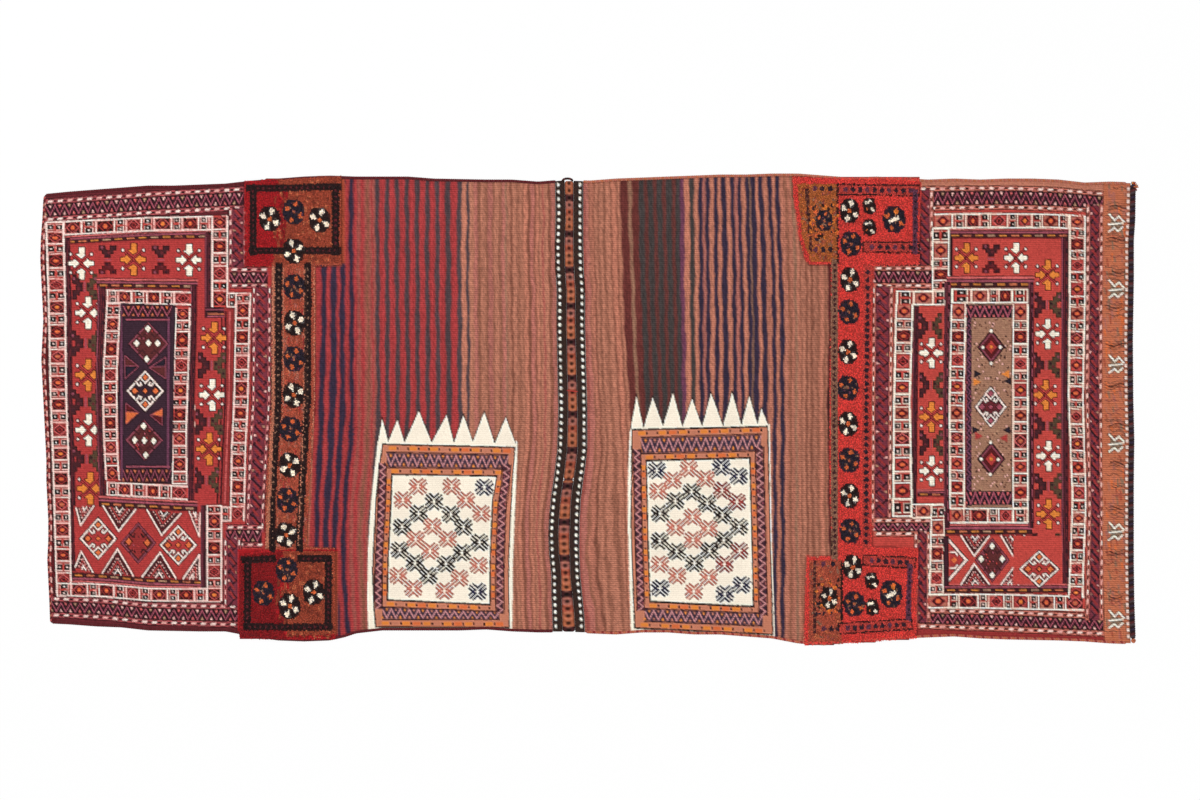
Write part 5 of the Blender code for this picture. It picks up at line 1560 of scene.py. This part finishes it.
def ropeAlong(name, points, radius, turnLength, colours, sides=8, perTurn=3, flat=1.0):
    points = np.array(points, float)
    steps = np.linalg.norm(np.diff(points, axis=0), axis=1)
    along = np.concatenate([[0], np.cumsum(steps)])
    count = max(4, int(along[-1] / turnLength * perTurn))
    stations = np.linspace(0, along[-1], count)
    centre = np.stack([np.interp(stations, along, points[:, k]) for k in range(3)], 1)
    ahead = np.gradient(centre, axis=0)
    ahead /= np.linalg.norm(ahead, axis=1)[:, None]
    side = np.cross(ahead, np.array([0, 0, 1.0]))
    side /= np.maximum(1e-9, np.linalg.norm(side, axis=1))[:, None]
    up = np.cross(side, ahead)
    angle = np.arange(sides) / sides * 2 * pi
    phase = stations[:, None] / turnLength * 2 * pi + angle[None, :]
    swell = radius * (0.9 + 0.1 * np.cos(phase))
    closing = np.clip(np.minimum(stations, along[-1] - stations) / radius, 0, 1)
    swell *= np.sqrt(1 - (1 - closing) ** 2 * 0.96)[:, None]
    outward = side[:, None, :] * np.cos(angle)[None, :, None] + up[:, None, :] * np.sin(angle)[None, :,
        None] * flat
    ring = centre[:, None, :] + outward * swell[..., None]
    index = np.arange(count * sides).reshape(count, sides)
    nextSide = np.roll(index, -1, axis=1)
    walls = np.stack([index[:-1], index[1:], nextSide[1:], nextSide[:-1]], -1).reshape(-1, 4)
    turn = np.floor(phase / (2 * pi) + 0.5).astype(int) % len(colours)
    colour = np.array([yarns[c] for c in colours], np.float32)[turn]
    # painted shade: each wrapped turn lighter on its crest and darker towards the grooves between turns
    colour = colour * heather(turn.shape, 0.2) * (0.72 + 0.34 * (0.5 + 0.5 * np.cos(phase)))[..., None]
    return buildMesh(name, ring.reshape(-1, 3), [walls, index[:1], index[-1:, ::-1]], colour.reshape(-1, 3))


# tones of the wrapping yarn, radius and length of one turn in metres
cords = {
    "side": {"radius": 0.0037, "turn": 0.0052, "lift": 1.0, "flat": 0.95},
    "end": {"radius": 0.0070, "turn": 0.0056, "lift": 0.8, "flat": 0.78},
    "binding": {"radius": 0.0030, "turn": 0.0058, "lift": 0.8, "flat": 0.78},
    "plum": ("maroon", "plum", "maroon", "plum"),
    "upperRight": ("salmon", "rust", "salmon", "salmonGround"),
    "lowerRight": ("madder", "salmonGround", "rust", "salmonGround"),
    "dark": ("blackBrown", "stripeNavy", "blackBrown", "redBrown", "slate"),
    "maroon": ("maroon", "pink", "maroon", "maroon", "salmon"),
}


def edgeCord(name, xs, ys, size, tones):
    x, y = metres(xs, ys)
    cord = cords[size]
    middle = np.stack([x, y, wave(xs, ys) + cord["lift"] * cord["radius"]], 1)
    return ropeAlong(name, middle, cord["radius"], cord["turn"], cords[tones], flat=cord["flat"])


def sideCord(name, line, fromX, toX, offset, tones):
    xs = np.linspace(fromX, toX, 160)
    return edgeCord(name, xs, guide(line, xs) + offset, "side", tones)


def endCord(name, line, fromY, toY, offset, size, tones):
    ys = np.linspace(fromY, toY, 160)
    return edgeCord(name, guide(line, ys) + offset, ys, size, tones)


upperLeftCord = sideCord("upperLeftCord", bag["top"], 46, 556, 1.0, "plum")
upperRightCord = sideCord("upperRightCord", bag["top"], 583, 1126, 1.0, "upperRight")
lowerLeftCord = sideCord("lowerLeftCord", bag["bottom"], 52, 553, -1.0, "plum")
lowerRightCord = sideCord("lowerRightCord", bag["bottom"], 586, 1126, -1.0, "lowerRight")
rightEndCord = endCord("rightEndCord", bag["rightEnd"], 184, 639, 2.3, "end", "dark")
leftEndBinding = endCord("leftEndBinding", bag["leftEnd"], 196, 622, 1.6, "binding", "maroon")
print("cords laid")


# knotted pile: a backing slab, darkened as painted shade under the tufts, and one cut tuft per knot
pileKnots = {"spacing": 1.36, "scatter": 0.8, "baseStep": 2.6, "halfWidth": 0.0026, "lean": 0.004}


def makePile(name, outline):
    step = pileKnots["baseStep"]
    xs = np.arange(min(p[0] for p in outline), max(p[0] for p in outline) + 0.1, step)
    ys = np.arange(min(p[1] for p in outline), max(p[1] for p in outline) + 0.1, step)
    px, py = np.meshgrid(xs, ys)
    keep = insideOutline(px[:-1, :-1] + step / 2, py[:-1, :-1] + step / 2, outline)
    colour, _ = readPicture(px, py)
    floor = wave(px, py)
    # painted shade: the slab seen between the tufts takes six tenths of the dye
    base = slimSheet(name + "Base", px, py, floor + laid["pileUnder"], floor + laid["pileBase"],
        colour * 0.6, keep)
    gx, gy = np.meshgrid(np.arange(xs[0], xs[-1], pileKnots["spacing"]), np.arange(ys[0], ys[-1],
        pileKnots["spacing"]))
    gx = gx + (chance.random(gx.shape) - 0.5) * pileKnots["scatter"]
    gy = gy + (chance.random(gy.shape) - 0.5) * pileKnots["scatter"]
    inside = insideOutline(gx, gy, outline)
    gx, gy = gx[inside], gy[inside]
    count = len(gx)
    colour, _ = readPicture(gx, gy, 0)
    colour = colour * (0.95 + 0.95 * chance.random(count))[:, None]
    x, y = metres(gx, gy)
    floor = wave(gx, gy)
    turn = chance.random(count) * 2 * pi
    size = pileKnots["halfWidth"] + 0.0007 * chance.random(count)
    points = np.zeros((count, 4, 3))
    for k in range(3):
        points[:, k, 0] = x + np.cos(turn + k * 2 * pi / 3) * size
        points[:, k, 1] = y + np.sin(turn + k * 2 * pi / 3) * size
        points[:, k, 2] = floor + laid["tuftFoot"]
    points[:, 3, 0] = x + (chance.random(count) - 0.5) * pileKnots["lean"]
    points[:, 3, 1] = y + (chance.random(count) - 0.7) * pileKnots["lean"]
    points[:, 3, 2] = floor + laid["tuftTip"] + 0.0022 * chance.random(count)
    first = np.arange(count)[:, None] * 4
    faces = np.concatenate([first + np.array(f)[None, :] for f in ((0, 1, 3), (1, 2, 3), (2, 0, 3),
        (0, 2, 1))])
    tufts = buildMesh(name + "Tufts", points.reshape(-1, 3), [faces], np.repeat(colour, 4, axis=0))
    return joined([base, tufts], name)


leftPileStrip = makePile("leftPileStrip", leftPile["outline"])
rightPileStrip = makePile("rightPileStrip", rightPile["outline"])
print("pile knotted")


# small trims
tassel = {"x": 1132.6, "y": 187.0, "reach": 0.0145, "strands": 44, "radius": 0.0015,
    "tones": ("ember", "coral", "blackBrown", "pileRed", "orange")}
knot = {"x": 1133.0, "y": 640.5, "ring": 0.003, "radius": 0.0032, "tones": ("rust", "endRust")}
loop = {"x": 567.5, "y": 180.5, "halfWidth": 0.012, "rise": 0.006, "height": 0.0105, "radius": 0.0030,
    "tones": ("goatHair", "blackBrown", "redBrown")}
lacing = {"inset": 8.5, "radius": 0.0012, "height": 0.0070, "arch": 0.0040,
    "stitches": ((391, 0.6, "scarlet"), (479.4, 0.0, "redBrown"), (595, -1.2, "blackBrown"))}


def makeTassel():
    parts = []
    x0, y0 = metres(tassel["x"], tassel["y"])
    for i in range(tassel["strands"]):
        turn = radians(-60 + 170 * chance.random())
        out = tassel["reach"] * (0.6 + 0.4 * chance.random())
        height = 0.003 + 0.006 * chance.random()
        path = [(x0 + cos(turn) * out * f, y0 + sin(turn) * out * f, height * (1 - f * f) + 0.002)
            for f in (0, 0.35, 0.7, 1)]
        tone = tassel["tones"][i % len(tassel["tones"])]
        parts.append(ropeAlong("cornerTassel" + str(i), path, tassel["radius"], 0.004, (tone,), 5, 2))
    return joined(parts, "cornerTassel")


def makeKnot():
    x, y = metres(knot["x"], knot["y"])
    turns = [(x + cos(a * 2.4) * knot["ring"], y + sin(a * 2.4) * knot["ring"], 0.004 + 0.0012 * a)
        for a in np.linspace(0, 5, 40)]
    return ropeAlong("cornerKnot", turns, knot["radius"], 0.005, knot["tones"])


def makeTopLoop():
    x, y = metres(loop["x"], loop["y"])
    path = [(x + cos(a) * loop["halfWidth"], y - 0.002 + sin(a) * loop["rise"], loop["height"])
        for a in np.linspace(-0.2, pi + 0.2, 30)]
    return ropeAlong("topLoop", path, loop["radius"], 0.005, loop["tones"])


def makeLacing():
    parts = []
    for i, (y, lean, yarn) in enumerate(lacing["stitches"]):
        x0 = float(guide(bag["joinLeft"], y)) + lacing["inset"]
        x1 = float(guide(bag["joinRight"], y)) - lacing["inset"]
        start, end = metres(x0, y - lean), metres(x1, y + lean)
        arc = [between(start, end, f) + (lacing["height"] + lacing["arch"] * sin(pi * f),)
            for f in np.linspace(0, 1, 14)]
        parts.append(ropeAlong("lacing" + str(i), arc, lacing["radius"], 0.003, (yarn,), 6))
    return joined(parts, "centreLacing")


cornerTassel = makeTassel()
cornerKnot = makeKnot()
topLoop = makeTopLoop()
centreLacing = makeLacing()
print("trims made")


# finishes
def node(tree, kind, links=None, **settings):
    made = tree.nodes.new(kind)
    for key, value in settings.items():
        setattr(made, key, value)
    for socket, source in (links or {}).items():
        if hasattr(source, "default_value") or hasattr(source, "is_linked"):
            tree.links.new(source, made.inputs[socket])
        else:
            made.inputs[socket].default_value = source
    return made


# each finish: sheen, fibre noise, bump height in metres, and the ribs that packed wefts leave on the warps,
# as bump and as painted shade
finishes = {
    # weft-faced plain weave of hand-spun wool
    "kilimWool": {"roughness": 0.95, "sheen": 0.04, "fibreScale": 900.0, "fibreStretch": (0.35, 1.0, 1.0),
    "bump": 0.0004, "strength": 0.6, "ribPitch": 0.0048, "ribShadeDepth": 0.28},
    # soumak wrapping of plied wool
    "soumakWool": {"roughness": 0.93, "sheen": 0.03, "fibreScale": 700.0, "fibreStretch": (0.6, 1.0, 1.0),
    "bump": 0.0004, "strength": 0.6, "ribPitch": 0.0046, "ribShadeDepth": 0.2},
    # cut knotted pile of lustrous wool
    "pileWool": {"roughness": 0.85, "sheen": 0.05, "fibreScale": 500.0, "fibreStretch": (1.0, 1.0, 1.0),
    "bump": 0.0004, "strength": 0.4, "ribPitch": None},
    # spun goat hair
    "goatHair": {"roughness": 0.8, "sheen": 0.04, "fibreScale": 1100.0, "fibreStretch": (1.0, 0.3, 1.0),
    "bump": 0.0003, "strength": 0.6, "ribPitch": None},
    # plied wool cord and overcast edging
    "cordWool": {"roughness": 0.92, "sheen": 0.08, "fibreScale": 900.0, "fibreStretch": (1.0, 1.0, 1.0),
    "bump": 0.0003, "strength": 0.5, "ribPitch": None},
}


def maths(tree, operation, *values):
    return node(tree, "ShaderNodeMath", dict(enumerate(values)), operation=operation).outputs[0]


def ranged(tree, value, fromMin, fromMax, toMin, toMax):
    sockets = {"Value": value, "From Min": fromMin, "From Max": fromMax, "To Min": toMin, "To Max": toMax}
    return node(tree, "ShaderNodeMapRange", sockets).outputs["Result"]


def woolMaterial(name):
    finish = finishes[name]
    material = bpy.data.materials.new(name)
    material.use_nodes = True
    tree = material.node_tree
    tree.nodes.clear()
    place = node(tree, "ShaderNodeTexCoord").outputs["Object"]
    stretched = node(tree, "ShaderNodeMapping", {"Vector": place,
        "Scale": finish["fibreStretch"]}).outputs["Vector"]
    fibreNoise = {"Vector": stretched, "Scale": finish["fibreScale"], "Detail": 3.0, "Roughness": 0.6}
    fibres = node(tree, "ShaderNodeTexNoise", fibreNoise).outputs["Fac"]
    patches = node(tree, "ShaderNodeTexNoise", {"Vector": place, "Scale": 14.0,
        "Detail": 4.0}).outputs["Fac"]
    dye = node(tree, "ShaderNodeVertexColor", layer_name="dye").outputs
    fibreShade = ranged(tree, fibres, 0.3, 0.7, 0.86, 1.12)
    shade = maths(tree, "MULTIPLY", fibreShade, ranged(tree, patches, 0.3, 0.7, 0.94, 1.05))
    if finish["ribPitch"]:
        along = node(tree, "ShaderNodeSeparateXYZ", {"Vector": place}).outputs["Y"]
        loose = node(tree, "ShaderNodeTexNoise", {"Vector": place, "Scale": 60.0,
            "Detail": 2.0}).outputs["Fac"]
        drift = maths(tree, "MULTIPLY", loose, 3.2)
        # painted shade: the colour darkens in the valleys between the ribs, a sine across y, by as much as
        # the dye's alpha allows
        rib = maths(tree, "SINE", maths(tree, "MULTIPLY_ADD", along, 2 * pi / finish["ribPitch"], drift))
        ribShade = ranged(tree, rib, -1.0, 0.6, 1.0 - finish["ribShadeDepth"], 1.0 + 0.5 * finish["ribShadeDepth"])
        ribShade = node(tree, "ShaderNodeMix", {"Factor": dye["Alpha"], 2: 1.0, 3: ribShade}).outputs[0]
        shade = maths(tree, "MULTIPLY", shade, ribShade)
        fibres = maths(tree, "MULTIPLY_ADD", rib, 0.35, fibres)
    colour = node(tree, "ShaderNodeVectorMath", {0: dye["Color"], "Scale": shade},
        operation="SCALE").outputs[0]
    bump = node(tree, "ShaderNodeBump", {"Height": fibres, "Distance": finish["bump"],
        "Strength": finish["strength"]})
    surface = {"Base Color": colour, "Normal": bump.outputs["Normal"], "Roughness": finish["roughness"],
        "Sheen Weight": finish["sheen"], "Sheen Roughness": 0.5, "Specular IOR Level": 0.15}
    shader = node(tree, "ShaderNodeBsdfPrincipled", surface)
    node(tree, "ShaderNodeOutputMaterial", {"Surface": shader.outputs["BSDF"]})
    return material


kilimWool = woolMaterial("kilimWool")
soumakWool = woolMaterial("soumakWool")
pileWool = woolMaterial("pileWool")
goatHair = woolMaterial("goatHair")
cordWool = woolMaterial("cordWool")
print("finishes made")

stage = {"floorHalf": 6.0, "white": 0.9, "glow": 0.97}
bpy.ops.mesh.primitive_plane_add(size=2 * stage["floorHalf"], location=(0, 0, 0))
floor = bpy.context.object
floor.name = "whiteFloor"
white = bpy.data.materials.new("whitePaperFloor")
white.use_nodes = True
tree = white.node_tree
tree.nodes.clear()
rays = node(tree, "ShaderNodeLightPath").outputs
matte = node(tree, "ShaderNodeBsdfDiffuse", {"Color": (stage["white"],) * 3 + (1,)}).outputs[0]
glow = node(tree, "ShaderNodeEmission", {"Color": (1, 1, 1, 1), "Strength": 1.0}).outputs[0]
held = node(tree, "ShaderNodeMixShader", {"Fac": stage["glow"], 1: matte, 2: glow}).outputs[0]
mixed = node(tree, "ShaderNodeMixShader", {"Fac": rays["Is Camera Ray"], 1: matte, 2: held}).outputs[0]
node(tree, "ShaderNodeOutputMaterial", {"Surface": mixed})
floor.data.materials.append(white)
floor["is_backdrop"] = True
print("floor laid")

assembly = (
    (leftFaceCloth, soumakWool, "woven_wool", ("left_half_weave",)),
    (leftBackCloth, kilimWool, "woven_wool", ("left_half_weave",)),
    (leftPileStrip, pileWool, "woven_wool", ("left_half_weave",)),
    (rightFaceCloth, soumakWool, "woven_wool", ("right_half_weave",)),
    (rightBackCloth, kilimWool, "woven_wool", ("right_half_weave",)),
    (rightEndBand, kilimWool, "woven_wool", ("right_half_weave",)),
    (rightPileStrip, pileWool, "woven_wool", ("right_half_weave",)),
    (leftEdging, goatHair, "goat_hair", ("centre_edging_left",)),
    (rightEdging, goatHair, "goat_hair", ("centre_edging_right",)),
    (upperBraid, cordWool, "braid_wool", ("centre_braid_upper",)),
    (lowerBraid, cordWool, "braid_wool", ("centre_braid_lower",)),
    (centreLacing, cordWool, "braid_wool", ("centre_lacing",)),
    (topLoop, cordWool, "braid_wool", ("centre_top_loop",)),
    (upperLeftCord, cordWool, "overcast_wool", ("upper_side_cord_left",)),
    (upperRightCord, cordWool, "overcast_wool", ("upper_side_cord_right",)),
    (lowerLeftCord, cordWool, "overcast_wool", ("lower_side_cord_left",)),
    (lowerRightCord, cordWool, "overcast_wool", ("lower_side_cord_right",)),
    (leftEndBinding, cordWool, "overcast_wool", ("left_end_binding",)),
    (rightEndCord, cordWool, "overcast_wool", ("right_end_cord",)),
    (cornerTassel, cordWool, "tassel_wool", ("corner_tassel",)),
    (cornerKnot, cordWool, "tassel_wool", ("corner_knot",)),
)
for piece, material, slotName, nodes in assembly:
    piece.data.materials.clear()
    piece.data.materials.append(material)
    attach(piece, "root")
    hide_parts(*nodes)

# plain soft studio light from overhead: place, size and power of each panel
studio = {
    "sky": 0.66,
    "panels": (("keyPanel", (-2.2, 2.0, 3.2), 2.4, 70.0), ("fillPanel", (2.4, -1.6, 3.4), 2.4, 34.0)),
}
world = bpy.data.worlds.new("studio")
world.use_nodes = True
sky = world.node_tree.nodes["Background"].inputs
sky["Color"].default_value = (1, 1, 1, 1)
sky["Strength"].default_value = studio["sky"]
bpy.context.scene.world = world
for name, place, size, power in studio["panels"]:
    light = bpy.data.lights.new(name, "AREA")
    light.size = size
    light.energy = power
    lamp = bpy.data.objects.new(name, light)
    bpy.context.scene.collection.objects.link(lamp)
    lamp.location = place
    toward = -np.array(place)
    tilt = np.arctan2(np.hypot(toward[0], toward[1]), -toward[2])
    lamp.rotation_euler = (tilt, 0, np.arctan2(toward[1], toward[0]) - pi / 2)

view = {"lens": 100.0, "sensor": 36.0, "distance": 8.0, "pixelX": 600.0, "pixelY": 400.0}
cameraData = bpy.data.cameras.new("photoCamera")
cameraData.lens = view["lens"]
cameraData.sensor_width = view["sensor"]
camera = bpy.data.objects.new("photoCamera", cameraData)
bpy.context.scene.collection.objects.link(camera)
cameraX, cameraY = metres(view["pixelX"], view["pixelY"])
camera.location = (cameraX, cameraY, view["distance"])
bpy.context.scene.camera = camera
bpy.context.scene.view_settings.view_transform = "Standard"

triangles = 0
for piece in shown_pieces():
    if piece.type == "MESH":
        piece.data.calc_loop_triangles()
        count = len(piece.data.loop_triangles)
        triangles += count
        print(piece.name, count)
print("triangles", triangles)
